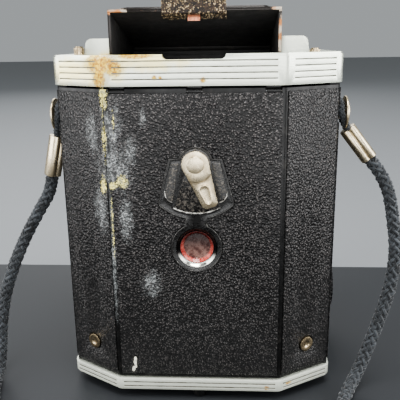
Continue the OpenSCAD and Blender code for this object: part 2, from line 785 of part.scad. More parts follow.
module window_bezel() {
    color(BLACK) from_rear() difference() {
        union() {
            upright(-0.55, 0) frame_outline(-0.15);
            difference() {
                upright(-0.85, -0.5) frame_outline(-0.15);
                upright(-0.9, -0.4) frame_outline(-0.65);
            }
            upright(-0.75, -0.5) sector_outline();
            both_sides() upright(-0.8, -0.5) polygon(rounded(side_field, 0.5));
        }
        rod_y(-1, 1, 0, window_z, window_r + 0.75);
        rod_y(-1, 1, 0, pivot_z, rivet_r + 0.05);
    }
}

module window_ring() {
    color(SILVER) from_rear() difference() {
        rod_y(-0.8, 0, 0, window_z, window_r + 0.72);
        translate([0, -0.85, window_z]) rotate([-90, 0, 0])
            cylinder(h = 0.75, r1 = window_r + 0.66, r2 = window_r - 0.1);
        rod_y(-1, 1, 0, window_z, window_r - 0.35);
    }
}

// A moulded film with a sloping rim that stands in the hole of the back
module red_window() {
    color([0.62, 0.16, 0.14, 0.7]) from_rear() difference() {
        union() {
            rod_y(back_t + 0.02, back_t + 0.42, 0, window_z, 7.4);
            rod_y(0.1, back_t + 0.1, 0, window_z, window_r - 0.42);
        }
        translate([0, 0, window_z]) rotate([-90, 0, 0])
            cylinder(h = back_t + 0.05, r1 = window_r - 0.5, r2 = window_r - 1.5);
    }
}

// Things that turn with the window lever, drawn with the lever straight down
module lever_turned() {
    from_rear() translate([0, 0, pivot_z]) rotate([0, -lever_tilt, 0]) children();
}

lever_y0 = -1.75;
lever_y1 = -0.95;
lever_pad = 0.3;      // how far the lever's head stands out from its arm
module window_lever() {
    color(SILVER) lever_turned() difference() {
        union() {
            upright(lever_y0, lever_y1) lever_outline();
            upright(lever_y0 - 0.5, lever_y0 + 0.1) difference() {
                lever_loop(1.75);
                lever_loop(1.2);
            }
            upright(lever_y0 - lever_pad, lever_y0 + 0.1) intersection() {
                lever_outline();
                circle(r = 5.15);
            }
        }
        rod_y(lever_y0 - 1, lever_y1 + 1, 0, 0, rivet_r);
    }
}
module lever_outline() {
    circle(r = 3.9);
    polygon([[-3.75, -1.0], [-2.3, 0.8 - lever_len], [-1.5, -lever_len], [1.5, -lever_len],
        [2.3, 0.8 - lever_len], [3.75, -1.0]]);
}
// Long loop pressed along the lever's arm
module lever_loop(r) {
    narrow = r - 0.5;
    polygon([for (w = [0 : 15 : 180]) [r * cos(w), r * sin(w) - 7.9],
        for (w = [180 : 15 : 360]) [narrow * cos(w), narrow * sin(w) - 11.2]]);
}

module lever_rivet() {
    color(SILVER) from_rear() {
        rod_y(lever_y0 - lever_pad - 0.5, lever_y0 - lever_pad, 0, pivot_z, 2.5);
        rod_y(lever_y0 - lever_pad - 0.1, back_t + 1, 0, pivot_z, rivet_r);
        rod_y(back_t + 0.9, back_t + 1.3, 0, pivot_z, 1.9);
    }
}

// Swinging cover inside the back: straight below the pivot it hides the red window
module window_shutter() {
    color(BLACK) from_rear() translate([0, 0, pivot_z]) rotate([0, -lever_swing, 0]) difference() {
        upright(back_t + 0.62, back_t + 0.9) {
            translate([0, -blade_reach]) circle(r = 8);
            translate([-2.2, -blade_reach]) square([4.4, blade_reach]);
            circle(r = 3);
        }
        rod_y(-1, 5, 0, 0, rivet_r);
    }
}

// Sprung plate that holds the paper flat, open in the middle for the window
module pressure_plate() {
    color(STEEL) from_rear() difference() {
        union() {
            box([-26.5, 3.0, lens_z - 28], [26.5, 3.5, lens_z + 28]);
            both_sides() for (z = [20, 68]) box([23, back_t, z], [24, 3.1, z + 4]);
        }
        rod_y(2.8, 4, 0, window_z, 9.5);
    }
}

// Bowed leaf springs that the corner rivets hold
module back_springs() {
    color(STEEL) from_rear() both_sides() rivet_place() difference() {
        sideways(-3, 3) translate([back_t, 0])
            polygon([[0.02, -6], [0.32, -6], [0.32, 16], [0.5, 34], [0.2, 34], [0.02, 16]]);
        rod_y(0, 4, 0, 0, 1.05);
    }
}

module back_catch() {
    color(STEEL) from_rear() {
        box([-8, back_t, 12], [8, back_t + 0.6, 20]);
        box([-3, back_t, 10.2], [3, back_t + 0.6, 13]);
        box([-3, back_t, 9.6], [3, 6.4, 10.3]);
        box([-3, 5.8, 8.8], [3, 6.4, 10.3]);
    }
}

// ---------- latch ----------

latch_z = case_z + 0.1;
module latch_slide() {
    color(STEEL) from_rear() difference() {
        union() {
            box([-9, latch_y - 1.1, latch_z], [9, 5.2, latch_z + 0.7]);
            box([4.2, 4.2, latch_z], [9, 5.2, latch_z + 2.2]);
        }
        translate([0, latch_y, 0]) cylinder(h = 12, r = 0.8);
    }
}

module latch_stud() {
    color(STEEL) from_rear() translate([0, latch_y, 0]) {
        translate([0, 0, 0.4]) cylinder(h = 2.3, r = 2.1);
        translate([0, 0, 2.5]) cylinder(h = latch_z + 0.7 - 2.5, r = 0.78);
    }
}

// ---------- small brass studs on the deck, and the strap ----------

module deck_studs() {
    color(BRASS) from_rear() {
        deck_stud(-deck_stud_at[0], 2.4);
        deck_stud(deck_stud_at[0], 1.1);
    }
}
module deck_stud(x, tall) {
    translate([x, deck_stud_at[1], deck_z - band_t]) difference() {
        union() {
            cylinder(h = band_t + tall - 0.4, r = 1.5);
            cylinder(h = band_t + tall, r = 1.1);
        }
        for (k = [0 : 11]) rotate([0, 0, 30 * k]) translate([1.62, 0, band_t])
            cylinder(h = 4, r = 0.2, $fn = 16);
    }
}

module strap_studs() {
    color(STEEL) from_rear() both_sides() {
        rod_x(half_w - case_t, 44.7, stud_at, 1.45);
        rod_x(half_w - case_t - 0.8, half_w - case_t, stud_at, 3);
        rod_x(half_w + 0.01, 44.7, stud_at, 2.0);
        rod_x(44.6, 45.3, stud_at, 5);
        rod_x(45.2, 45.8, stud_at, 3.6);
    }
}

// A tube of radius r with k sides, swept along the points
module tube(pts, r, k) {
    n = len(pts);
    side = [1, 0, 0];
    rings = [for (i = [0 : n - 1])
        let (t = unit(pts[min(i + 1, n - 1)] - pts[max(i - 1, 0)]), u = unit(cross(side, t)), v = cross(t, u))
        for (j = [0 : k - 1]) pts[i] + r * (cos(360 * j / k) * u + sin(360 * j / k) * v)];
    walls = [for (i = [0 : n - 2], j = [0 : k - 1])
        [i * k + j, i * k + (j + 1) % k, (i + 1) * k + (j + 1) % k, (i + 1) * k + j]];
    ends = [[for (j = [k - 1 : -1 : 0]) j], [for (j = [0 : k - 1]) (n - 1) * k + j]];
    polyhedron(rings, concat(ends, walls));
}

// The cord's end, doubled over the stud: up one leg, round the neck and down the other
function loop_points(top, s) = let (r = 2.1 + loop_r, x = s * stud_x, c = stud_at) concat(
    [top + [0, -1.2, 0], [(top[0] + x) / 2, c[0] - r + 0.9, (top[2] + c[1]) / 2]],
    [for (w = [180 : -22.5 : 0]) [x, c[0] + r * cos(w), c[1] + r * sin(w)]],
    [[(top[0] + x) / 2, c[0] + r - 0.9, (top[2] + c[1]) / 2], top + [0, 1.2, 0]]);

module strap_loops() {
    color(CORD) from_rear() {
        tube(loop_points(left_top, -1), loop_r, 10);
        tube(loop_points(right_top, 1), loop_r, 10);
    }
}

// A strip of metal rolled round the cord and crimped into two lobes side by side
module ferrule(top, end, twist) {
    d = unit(top - end);
    translate(end) rotate([0, atan2(d[0], d[2]), 0]) rotate([-asin(d[1]), 0, twist])
        linear_extrude(norm(top - end)) for (x = [-1.05, 1.05]) translate([x, 0])
            polygon([for (w = [0 : 15 : 345]) [lobe_r[0] * cos(w), lobe_r[1] * sin(w)]]);
}

module strap_ferrules() {
    color(SILVER) from_rear() {
        ferrule(left_top, left_end, 50);
        ferrule(right_top, right_end, 0);
    }
}

module strap_cord_left() { color(CORD) from_rear() tube(left_route, cord_d / 2, 8); }

module strap_cord_right() { color(CORD) from_rear() tube(right_route, cord_d / 2, 8); }

// The turns of the spare cord, two beside two
module strap_coil() {
    color(CORD) from_rear() translate([coil_at[0], coil_at[1], 0]) rotate_extrude($fn = 96)
        translate([coil_r - coil_half, 0]) polygon(rounded([[0, 0], [2 * coil_half, 0],
            [2 * coil_half, 2 * coil_half], [0, 2 * coil_half]], 1.6, 2));
}

body_case();
top_cover();
base_plate();
tripod_bush();
feet();
side_leathers();
front_plate();
front_screws();
viewing_lens_ring();
viewing_lens();
lens_housing();
taking_lens();
lens_retainer();
shutter_plate();
shutter_blade();
shutter_spring();
release_lever();
selector_lever();
film_box();
spool_pins();
supply_spool();
take_up_spool();
film_roller();
wind_collar();
wind_shaft();
wind_knob();
mirror_cradle();
finder_mirror();
field_lens();
finder_frame();
well_pan();
hood_lid();
hood_wings();
hood_tab();
hood_catch();
hood_pin();
hinge_leaf();
back_hinge_pin();
back_shell();
back_leather();
corner_leathers();
back_rivets();
window_bezel();
window_ring();
red_window();
window_lever();
lever_rivet();
window_shutter();
pressure_plate();
back_springs();
back_catch();
latch_slide();
latch_stud();
deck_studs();
strap_studs();
strap_loops();
strap_ferrules();
strap_cord_left();
strap_cord_right();
strap_coil();
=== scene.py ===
"""Looks of a reflex-finder box camera: rear covering, bands, hood, red window and braided strap.

Metres, +X to the operator's right, +Y the way the lens looks, +Z up; the table is at z = 0.
Sizes in this file are millimetres times MM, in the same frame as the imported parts.
"""

import json
import math

import bmesh
import bpy
from mathutils import Matrix, Vector


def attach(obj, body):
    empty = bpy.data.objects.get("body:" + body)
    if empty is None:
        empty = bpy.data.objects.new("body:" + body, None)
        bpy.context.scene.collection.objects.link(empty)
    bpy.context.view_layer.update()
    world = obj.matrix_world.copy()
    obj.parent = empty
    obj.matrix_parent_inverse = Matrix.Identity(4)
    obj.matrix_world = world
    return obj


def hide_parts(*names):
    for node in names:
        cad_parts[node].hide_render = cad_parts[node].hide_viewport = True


MM = 0.001
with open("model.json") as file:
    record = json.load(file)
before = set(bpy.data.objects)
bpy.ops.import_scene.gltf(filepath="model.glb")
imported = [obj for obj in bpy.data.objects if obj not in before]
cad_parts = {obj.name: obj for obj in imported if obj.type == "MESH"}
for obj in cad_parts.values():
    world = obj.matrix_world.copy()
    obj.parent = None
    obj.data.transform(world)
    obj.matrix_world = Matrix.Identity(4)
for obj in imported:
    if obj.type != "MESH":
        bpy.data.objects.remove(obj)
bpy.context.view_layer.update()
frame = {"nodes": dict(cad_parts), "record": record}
nodes = frame["nodes"]
body_of_node = {n: b for b, names in frame["record"]["behaviour"]["bodies"].items() for n in names}
slot_of_node = {s["node"]: s["material_slot"] for s in frame["record"]["subparts"]}


# ---------- camera, lights and floor ----------

EYE = (10.72 * MM, -197.5 * MM, 110.6 * MM)
EYE_TURN, EYE_DIP, EYE_ROLL = 3.40, 15.29, 0.83
EYE_LENS = 51.6


def make_camera():
    """An eye a little above the camera's back, looking slightly down on it."""
    data = bpy.data.cameras.new("eye")
    data.lens = EYE_LENS
    data.sensor_width = 36
    data.clip_start = 0.01
    eye = bpy.data.objects.new("eye", data)
    bpy.context.scene.collection.objects.link(eye)
    turn = Matrix.Rotation(math.radians(EYE_TURN), 4, "Z")
    dip = Matrix.Rotation(math.radians(-EYE_DIP), 4, "X")
    roll = Matrix.Rotation(math.radians(EYE_ROLL), 4, "Y")
    level = Matrix.Rotation(math.radians(90), 4, "X")
    eye.matrix_world = Matrix.Translation(EYE) @ turn @ dip @ roll @ level
    bpy.context.scene.camera = eye


# Each softbox: its place and width in metres, and its power in watts
SOFTBOXES = {
    "top": ((0.05, -0.30, 0.95), 0.55, 12.0),
    "front": ((0.10, -1.30, 0.16), 1.1, 14.5),
    "left": ((-0.80, -0.32, 0.34), 0.75, 9.0),
    "right": ((0.85, -0.22, 0.34), 0.75, 9.5),
    "behind": ((-0.25, 0.95, 0.70), 0.8, 5.0),
}
WORLD_LIGHT, WORLD_COLOUR = 0.40, (0.80, 0.84, 0.86, 1)
AIM = Vector((0, 0, 0.06))


def make_lights():
    """Square softboxes that face the camera's middle, and an even, dim surround."""
    for name, (place, width, power) in SOFTBOXES.items():
        data = bpy.data.lights.new("softbox_" + name, "AREA")
        data.shape = "SQUARE"
        data.size = width
        data.energy = power
        lamp = bpy.data.objects.new("softbox_" + name, data)
        lamp.location = place
        lamp.rotation_euler = (AIM - Vector(place)).to_track_quat("-Z", "Y").to_euler()
        bpy.context.scene.collection.objects.link(lamp)
    world = bpy.data.worlds.new("studio")
    world.use_nodes = True
    surround = world.node_tree.nodes["Background"].inputs
    surround["Color"].default_value = WORLD_COLOUR
    surround["Strength"].default_value = WORLD_LIGHT
    bpy.context.scene.world = world


# Each sheet: its west, east, south and north edges in metres, how far below the table in mm, and its colour
SHEETS = {
    "floor": ((-4, 4, -4, 4), 0.06, (0.20, 0.21, 0.22, 1)),
    "card": ((-1.2, 1.2, -1.6, -0.24), 0.04, (0.75, 0.76, 0.76, 1)),
    "mat": ((-0.26, 0.26, -0.24, 0.078), 0.02, (0.020, 0.022, 0.025, 1)),
}
SHEET_ROUGHNESS = 0.6


def make_floor():
    """Level rectangles under the camera: a wide floor, a pale card that lights the band, a dark mat."""
    for name, ((west, east, south, north), drop, colour) in SHEETS.items():
        mesh = bpy.data.meshes.new(name)
        corners = [(west, south, 0), (east, south, 0), (east, north, 0), (west, north, 0)]
        mesh.from_pydata(corners, [], [(0, 1, 2, 3)])
        sheet = bpy.data.objects.new(name, mesh)
        sheet.location.z = -drop * MM
        bpy.context.scene.collection.objects.link(sheet)
        paint = bpy.data.materials.new(name + "_paint")
        paint.use_nodes = True
        sockets = paint.node_tree.nodes["Principled BSDF"].inputs
        sockets["Base Color"].default_value = colour
        sockets["Roughness"].default_value = SHEET_ROUGHNESS
        mesh.materials.append(paint)


# ---------- a small kit for materials ----------

def srgb(red, green, blue):
    """A colour from its 0-255 screen values."""
    def linear(value):
        return ((value / 255 + 0.055) / 1.055) ** 2.4 if value > 10 else value / 3294.6
    return linear(red), linear(green), linear(blue), 1


class Finish:
    """A Principled material whose patterns are laid out in the object's own coordinates."""

    def __init__(self, name, **sockets):
        self.material = bpy.data.materials.new(name)
        self.material.use_nodes = True
        self.tree = self.material.node_tree
        self.shader = self.tree.nodes["Principled BSDF"]
        for key, value in sockets.items():
            self.shader.inputs[key.replace("_", " ")].default_value = value
        self.place = self.add("ShaderNodeTexCoord").outputs["Object"]

    def add(self, kind, inputs=None, **settings):
        """A new node with its settings, whose inputs are given values or linked."""
        node = self.tree.nodes.new(kind)
        for key, value in settings.items():
            setattr(node, key, value)
        for key, value in (inputs or {}).items():
            if isinstance(value, bpy.types.NodeSocket):
                self.tree.links.new(value, node.inputs[key])
            else:
                node.inputs[key].default_value = value
        return node

    def feed(self, socket, value):
        self.tree.links.new(value, self.shader.inputs[socket])

    def stretched(self, stretch):
        return self.add("ShaderNodeMapping", {"Vector": self.place, "Scale": stretch}).outputs[0]

    def noise(self, size, detail=3.0, rough=0.55, stretch=(1, 1, 1)):
        """Cloudy values from about 0.2 to 0.8, in patches about size mm wide."""
        inputs = {"Vector": self.stretched(stretch), "Scale": 1 / (size * MM), "Detail": detail,
                  "Roughness": rough}
        return self.add("ShaderNodeTexNoise", inputs).outputs["Fac"]

    def cells(self, size, sway=0.0):
        """Pebbles about size mm wide: how far from the middle of one, and a chance value for each of them."""
        place = self.place
        if sway:
            inputs = {"Vector": place, "Scale": 0.6 / (size * MM), "Detail": 2.0}
            push = self.add("ShaderNodeTexNoise", inputs).outputs["Color"]
            push = self.vectors("SUBTRACT", {0: push, 1: (0.5, 0.5, 0.5)})
            push = self.vectors("SCALE", {0: push, "Scale": sway * MM})
            place = self.vectors("ADD", {0: place, 1: push})
        inputs = {"Vector": place, "Scale": 1 / (size * MM)}
        pebbles = self.add("ShaderNodeTexVoronoi", inputs, feature="F1").outputs
        return pebbles["Distance"], self.add("ShaderNodeSeparateColor", {0: pebbles["Color"]}).outputs[0]

    def vectors(self, operation, inputs):
        return self.add("ShaderNodeVectorMath", inputs, operation=operation).outputs[0]

    def maths(self, operation, a, b=0.0):
        return self.add("ShaderNodeMath", {0: a, 1: b}, operation=operation).outputs[0]

    def span(self, value, low, high, to_low=0.0, to_high=1.0):
        """The value's range low..high, smoothly stretched to to_low..to_high."""
        inputs = {"Value": value, "From Min": low, "From Max": high, "To Min": to_low, "To Max": to_high}
        return self.add("ShaderNodeMapRange", inputs, interpolation_type="SMOOTHSTEP").outputs[0]

    def mixed(self, share, low, high):
        return self.add("ShaderNodeMix", {"Factor": share, 6: low, 7: high}, data_type="RGBA").outputs[2]

    def axis(self, name):
        """One coordinate of the surface point, in mm."""
        apart = self.add("ShaderNodeSeparateXYZ", {0: self.place}).outputs[name]
        return self.maths("MULTIPLY", apart, 1000.0)

    def spots(self, places, ragged):
        """Above 0 inside ragged ovals on the rear, given as (x, z, half width, half height) in mm."""
        east, up, total = self.axis("X"), self.axis("Z"), None
        ahead = self.span(self.axis("Y"), *REAR_ONLY, 0, 9)
        for x, z, across, tall in places:
            dx = self.maths("DIVIDE", self.maths("SUBTRACT", east, x), across)
            dz = self.maths("DIVIDE", self.maths("SUBTRACT", up, z), tall)
            square = self.maths("ADD", self.maths("MULTIPLY", dx, dx), self.maths("MULTIPLY", dz, dz))
            one = self.maths("SUBTRACT", 1.0, square)
            total = one if total is None else self.maths("MAXIMUM", total, one)
        rough = self.maths("MULTIPLY", self.maths("SUBTRACT", ragged, 0.5), RAGGEDNESS)
        return self.maths("SUBTRACT", self.maths("ADD", total, rough), ahead)

    def bumps(self, *layers):
        """Stacks bumps given as (height value, depth in mm)."""
        normal = None
        for height, depth in layers:
            inputs = {"Height": height, "Distance": depth * MM, "Strength": 1.0}
            if normal is not None:
                inputs["Normal"] = normal
            normal = self.add("ShaderNodeBump", inputs).outputs[0]
        self.feed("Normal", normal)


# ---------- finishes ----------

REAR_ONLY = (-22, -15)       # depths in mm between which stains fade out towards the front
RAGGEDNESS = 3.2

# Stained and worn places on the rear: x, z, half width and half height in mm. STREAK is thick crust, TRAIL
# is broken crust, HAZE is thin chalk, CHIPS are bare, RUST and TINT lie on the bands, BARE on rubbed edges.
STREAK = [(-25.9, 97, 1.5, 4.5), (-27.3, 70.8, 1.2, 3.4), (-21.6, 71.8, 2.2, 2.2), (-24.2, 70.6, 1.5, 1.2)]
TRAIL = [(-26.3, 85, 0.9, 11), (-25.1, 58, 0.5, 15), (-23.2, 89, 0.5, 5)]
HAZE = [(-23.6, 76, 6.6, 9), (-20.8, 60, 2.6, 8), (-30.3, 86, 2.6, 7), (-23.5, 87, 3.2, 9),
        (-25.4, 44, 1.0, 22), (-14.0, 40, 3.6, 5.5), (-14.8, 90.5, 1.3, 3.5), (-28.6, 63, 2.8, 9),
        (-18.6, 81, 2.2, 6), (-26.2, 84, 1.3, 14), (-25.2, 58, 0.8, 17)]
CHIPS = [(-20.2, 12.9, 0.6, 1.8), (-20.8, 10.8, 0.5, 1.2)]
RUST = [(-26.0, 105.4, 4.8, 2.6), (-26.8, 101.8, 2.0, 3.2), (-22.4, 104.4, 2.6, 2.4),
        (-16.5, 107.4, 4.8, 0.7), (-11, 101.6, 0.7, 0.7), (-9.4, 101.5, 0.6, 0.5), (2.4, 100.8, 0.8, 0.8),
        (21.5, 4.6, 0.9, 0.8), (28.5, 5.6, 1.1, 0.6)]
TINT = [(-27, 104, 8, 5), (-14, 106, 12, 3), (-36, 103, 8, 4)]
BARE = [(24.2, 112, 1.5, 6.0), (-21.5, 119.3, 3.2, 1.0), (23, 119.4, 1.8, 0.8)]


def dirty(finish, colour, rough):
    """Lays dried, chalky run-off over a dark covering, and returns the new colour, roughness and crust."""
    fine = finish.noise(0.42, 5, 0.8)
    broad = finish.noise(2.6, 6, 0.75)
    speckle = finish.maths("MULTIPLY", finish.maths("SUBTRACT", fine, 0.5), 4.2)
    drips = finish.noise(1.7, 7, 0.8, (1, 1, 0.5))
    film = finish.maths("ADD", finish.spots(HAZE, drips), speckle)
    trail = finish.maths("SUBTRACT", finish.spots(TRAIL, broad), 0.45)
    crust = finish.maths("ADD", finish.maths("MAXIMUM", finish.spots(STREAK, broad), trail), speckle)
    chance = finish.cells(0.5, 0.6)[1]
    dots = finish.maths("ADD", chance, finish.maths("MULTIPLY", fine, 0.8))
    dots = finish.span(dots, 0.92, 1.12, 0.3, 1.0)
    film = finish.maths("MULTIPLY", finish.span(film, 0.1, 2.1, 0, 0.85), dots)
    crust = finish.span(finish.maths("ADD", crust, finish.maths("MULTIPLY", chance, 0.7)), 0.75, 1.05)
    chips = finish.span(finish.spots(CHIPS, finish.noise(1.6)), 0.0, 0.25)
    patchy = finish.span(finish.noise(1.2, 4), 0.35, 0.6)
    chalk = finish.mixed(patchy, srgb(170, 168, 138), srgb(240, 228, 140))
    colour = finish.mixed(film, colour, srgb(188, 192, 192))
    colour = finish.mixed(crust, colour, chalk)
    colour = finish.mixed(chips, colour, srgb(232, 230, 214))
    matt = finish.maths("MULTIPLY", finish.maths("MAXIMUM", crust, chips), 0.85)
    return colour, finish.maths("MAXIMUM", rough, matt), crust


def grained_leather():
    """Pebbled black leathercloth with dried run-off down one edge: painted highlights on the pebbles' crowns,
    stronger high up, over a base colour painted paler low down.
    """
    finish = Finish("grained_leather", Specular_IOR_Level=0.38)
    pebble, chance = finish.cells(0.64, 0.5)
    # Painted highlight: each pebble's crown is painted pale as if it caught the light, more so high up.
    painted_grain_highlight = finish.maths("MULTIPLY", finish.span(pebble, 0.5, 0.05), finish.span(chance, 0.1, 0.9, 0.4, 0.9))
    height = finish.axis("Z")
    painted_grain_highlight = finish.maths("MULTIPLY", painted_grain_highlight, finish.span(height, 12, 80, 0.6, 0.85))
    # Painted light: the base colour is paler low down and darker high up.
    shade = finish.mixed(finish.span(height, 8, 62), srgb(38, 38, 38), srgb(14, 13, 13))
    shade = finish.mixed(finish.span(finish.noise(9), 0.3, 0.7, 0.0, 0.4), shade, srgb(28, 27, 27))
    shade = finish.mixed(painted_grain_highlight, shade, srgb(120, 115, 113))
    rough = finish.span(finish.noise(2.5, 4), 0.3, 0.7, 0.24, 0.38)
    shade, rough, crust = dirty(finish, shade, rough)
    finish.feed("Base Color", shade)
    finish.feed("Roughness", rough)
    finish.bumps((pebble, -0.24), (finish.noise(2.2, 3), 0.05), (crust, 0.10))
    return finish.material


def enamel(name, dark, light, low, high, grain_depth, stained=False):
    """Black enamel or moulding, low to high in roughness, with fine orange peel, dust and rubbed places."""
    finish = Finish(name, Specular_IOR_Level=0.3, Coat_Weight=0.06, Coat_Roughness=0.15)
    rubbed = finish.span(finish.noise(5, 6, 0.7), 0.52, 0.72)
    shade = finish.mixed(rubbed, dark, light)
    dust = finish.span(finish.noise(0.7, 3, 0.6), 0.68, 0.76, 0.0, 0.25)
    shade = finish.mixed(dust, shade, srgb(110, 106, 98))
    rough = finish.span(finish.noise(3, 5, 0.65), 0.3, 0.7, low, high)
    if stained:
        shade, rough = dirty(finish, shade, rough)[:2]
    finish.feed("Base Color", shade)
    finish.feed("Roughness", rough)
    finish.bumps((finish.noise(0.6, 2), grain_depth), (finish.noise(6, 3), 0.04))
    return finish.material


# Depths in mm between which the frame's raised fields begin, and those of the higher pieces inside them
FIELD_FROM, FIELD_TO = (-36.70, -36.76), (-36.81, -36.84)


def frame_lacquer():
    """Glossy black lacquer of the window's frame, worn to a fine grey grain on its raised fields."""
    finish = Finish("frame_lacquer", Specular_IOR_Level=0.55, Coat_Weight=0.3, Coat_Roughness=0.1)
    depth = finish.axis("Y")
    higher = finish.span(depth, *FIELD_TO)
    field = finish.maths("MULTIPLY", finish.span(depth, *FIELD_FROM), finish.maths("SUBTRACT", 1.0, higher))
    grain = finish.span(finish.noise(0.5, 4, 0.7), 0.46, 0.66)
    shade = finish.mixed(finish.noise(4, 5), srgb(10, 10, 10), srgb(22, 21, 20))
    shade = finish.mixed(finish.maths("MULTIPLY", field, grain), shade, srgb(96, 90, 82))
    finish.feed("Base Color", shade)
    finish.feed("Roughness", finish.span(finish.noise(2, 5), 0.3, 0.7, 0.16, 0.36))
    finish.bumps((grain, 0.03))
    return finish.material


def rubbed_edge(name, lacquer, bare, rusty, share):
    """An edge where the lacquer is partly gone, most of all in the BARE places."""
    finish = Finish(name, Metallic=0.35, Specular_IOR_Level=0.5)
    grit = finish.noise(1.2, 6, 0.75)
    gone = finish.span(grit, 0.66 - 0.2 * share, 0.78 - 0.2 * share, 0.0, share)
    gone = finish.maths("MAXIMUM", gone, finish.span(finish.spots(BARE, grit), -0.2, 0.6))
    metal = finish.mixed(finish.span(finish.noise(2.6, 4), 0.45, 0.62), bare, rusty)
    finish.feed("Base Color", finish.mixed(gone, lacquer, metal))
    finish.feed("Roughness", finish.span(gone, 0, 1, 0.22, 0.5))
    return finish.material


def ring_metal():
    """Polished metal in a dish with a painted reflection: its colour is dark above and bright below, as if it
    mirrored the dark above it and the light below it.
    """
    finish = Finish("ring_metal", Metallic=1.0)
    # Painted reflection: the colour goes from dark at the top to bright at the bottom.
    low = finish.span(finish.axis("Z"), WINDOW_Z - 1.5, WINDOW_Z - 5.3)
    shade = finish.mixed(low, srgb(30, 28, 28), srgb(214, 214, 206))
    soil = finish.span(finish.noise(1.2, 5), 0.55, 0.7, 0, 0.5)
    finish.feed("Base Color", finish.mixed(soil, shade, srgb(70, 66, 60)))
    finish.feed("Roughness", finish.span(finish.noise(2, 4), 0.3, 0.7, 0.1, 0.25))
    return finish.material


def bright_metal():
    """Satin aluminium, chalkier low down: fine lengthwise brushing, dull patches, pits and bled rust."""
    finish = Finish("bright_metal")
    finish.feed("Metallic", finish.span(finish.axis("Z"), 8, 90, 0.35, 0.9))
    brushed = finish.noise(0.35, 3, 0.6, (0.06, 0.06, 1))
    dull = finish.noise(7, 5, 0.65)
    pits = finish.span(finish.noise(0.9, 3), 0.68, 0.76)
    shade = finish.mixed(dull, srgb(208, 213, 203), srgb(228, 231, 216))
    shade = finish.mixed(finish.maths("MULTIPLY", pits, 0.4), shade, srgb(150, 146, 126))
    ragged = finish.noise(1.3, 6, 0.8)
    fine = finish.maths("MULTIPLY", finish.maths("SUBTRACT", finish.noise(0.45, 4, 0.8), 0.5), 2.4)
    bleed = finish.span(finish.maths("ADD", finish.spots(RUST, ragged), fine), -0.5, 0.9)
    rust = finish.mixed(finish.span(finish.noise(0.8, 4), 0.35, 0.65), srgb(170, 112, 26), srgb(232, 200, 84))
    tint = finish.span(finish.spots(TINT, finish.noise(4.5, 4)), -0.5, 0.9, 0.0, 0.75)
    shade = finish.mixed(tint, shade, srgb(232, 218, 152))
    shade = finish.mixed(finish.maths("MULTIPLY", bleed, 0.9), shade, rust)
    rough = finish.span(brushed, 0.3, 0.7, 0.28, 0.42)
    rough = finish.maths("ADD", rough, finish.maths("MULTIPLY", bleed, 0.3))
    finish.feed("Base Color", shade)
    finish.feed("Roughness", rough)
    finish.bumps((brushed, 0.012), (pits, -0.03), (bleed, 0.03))
    return finish.material


def plated(name, clean, worn, low, high, metallic=1.0):
    """Plate or bare metal with hairline scratches and a patchy, faintly stained bloom."""
    finish = Finish(name, Metallic=metallic)
    bloom = finish.noise(3.2, 6, 0.7)
    scratches = finish.span(finish.noise(0.5, 4, 0.7, (1, 1, 0.12)), 0.35, 0.65)
    shade = finish.mixed(finish.span(bloom, 0.4, 0.68), clean, worn)
    rough = finish.span(bloom, 0.3, 0.7, low, high)
    rough = finish.maths("ADD", rough, finish.maths("MULTIPLY", scratches, 0.06))
    finish.feed("Base Color", shade)
    finish.feed("Roughness", rough)
    finish.bumps((scratches, 0.006), (bloom, 0.015))
    return finish.material


TAB_LOW, TAB_HIGH = 118.6, 124.5


def corroded_plate():
    """Blackened steel under a sandy, rusty crust that thins out downwards."""
    finish = Finish("corroded_plate", Specular_IOR_Level=0.3)
    high = finish.span(finish.axis("Z"), TAB_LOW, TAB_HIGH, -0.18, 0.05)
    crust = finish.span(finish.maths("ADD", finish.noise(0.32, 6, 0.85), high), 0.45, 0.66)
    sand = finish.mixed(finish.noise(0.3, 3), srgb(98, 80, 60), srgb(172, 152, 122))
    dark = finish.mixed(finish.span(finish.noise(1.4, 5, 0.7), 0.4, 0.6), srgb(24, 20, 17), srgb(64, 50, 38))
    finish.feed("Base Color", finish.mixed(crust, dark, sand))
    finish.feed("Roughness", finish.span(crust, 0, 1, 0.4, 0.9))
    finish.bumps((crust, 0.12), (finish.noise(0.4, 5, 0.8), 0.2))
    return finish.material


def clear_glass():
    """Old glass with a faint smear."""
    finish = Finish("clear_glass", Transmission_Weight=0.92, IOR=1.5, Coat_Weight=0.3)
    finish.shader.inputs["Base Color"].default_value = (0.86, 0.92, 0.97, 1)
    finish.feed("Roughness", finish.span(finish.noise(4, 4), 0.45, 0.8, 0.015, 0.12))
    return finish.material


def red_celluloid():
    """Red film: a clear red rim and a cloudy, grey-brown middle, both painted darker at the top as painted
    shade and brighter at the bottom as painted light, which makes the rim seem to glow.
    """
    finish = Finish("red_celluloid", Specular_IOR_Level=0.6, Coat_Weight=0.6, Coat_Roughness=0.08)
    deep = finish.span(finish.axis("Y"), -35.25, -34.65)
    cloud = finish.noise(1.6, 5, 0.7)
    middle = finish.mixed(finish.span(cloud, 0.35, 0.68), srgb(62, 43, 39), srgb(128, 104, 94))
    # Painted shade and light: rim and middle go from dark at the top to bright at the bottom.
    low = finish.span(finish.axis("Z"), WINDOW_Z + 3.5, WINDOW_Z - 3.9)
    rim = finish.mixed(finish.span(cloud, 0.35, 0.7), srgb(158, 50, 42), srgb(222, 128, 114))
    rim = finish.mixed(low, srgb(84, 24, 20), rim)
    middle = finish.mixed(low, srgb(34, 22, 20), middle)
    finish.feed("Base Color", finish.mixed(deep, rim, middle))
    finish.feed("Roughness", finish.span(cloud, 0.3, 0.7, 0.12, 0.4))
    finish.bumps((cloud, 0.05))
    return finish.material


def silvered_mirror():
    """Front-silvered glass with tarnish spots."""
    finish = Finish("silvered_mirror", Metallic=1.0)
    spots = finish.span(finish.noise(1.2, 5, 0.7), 0.66, 0.75)
    finish.feed("Base Color", finish.mixed(spots, srgb(222, 226, 230), srgb(120, 112, 96)))
    finish.feed("Roughness", finish.span(spots, 0, 1, 0.03, 0.4))
    return finish.material


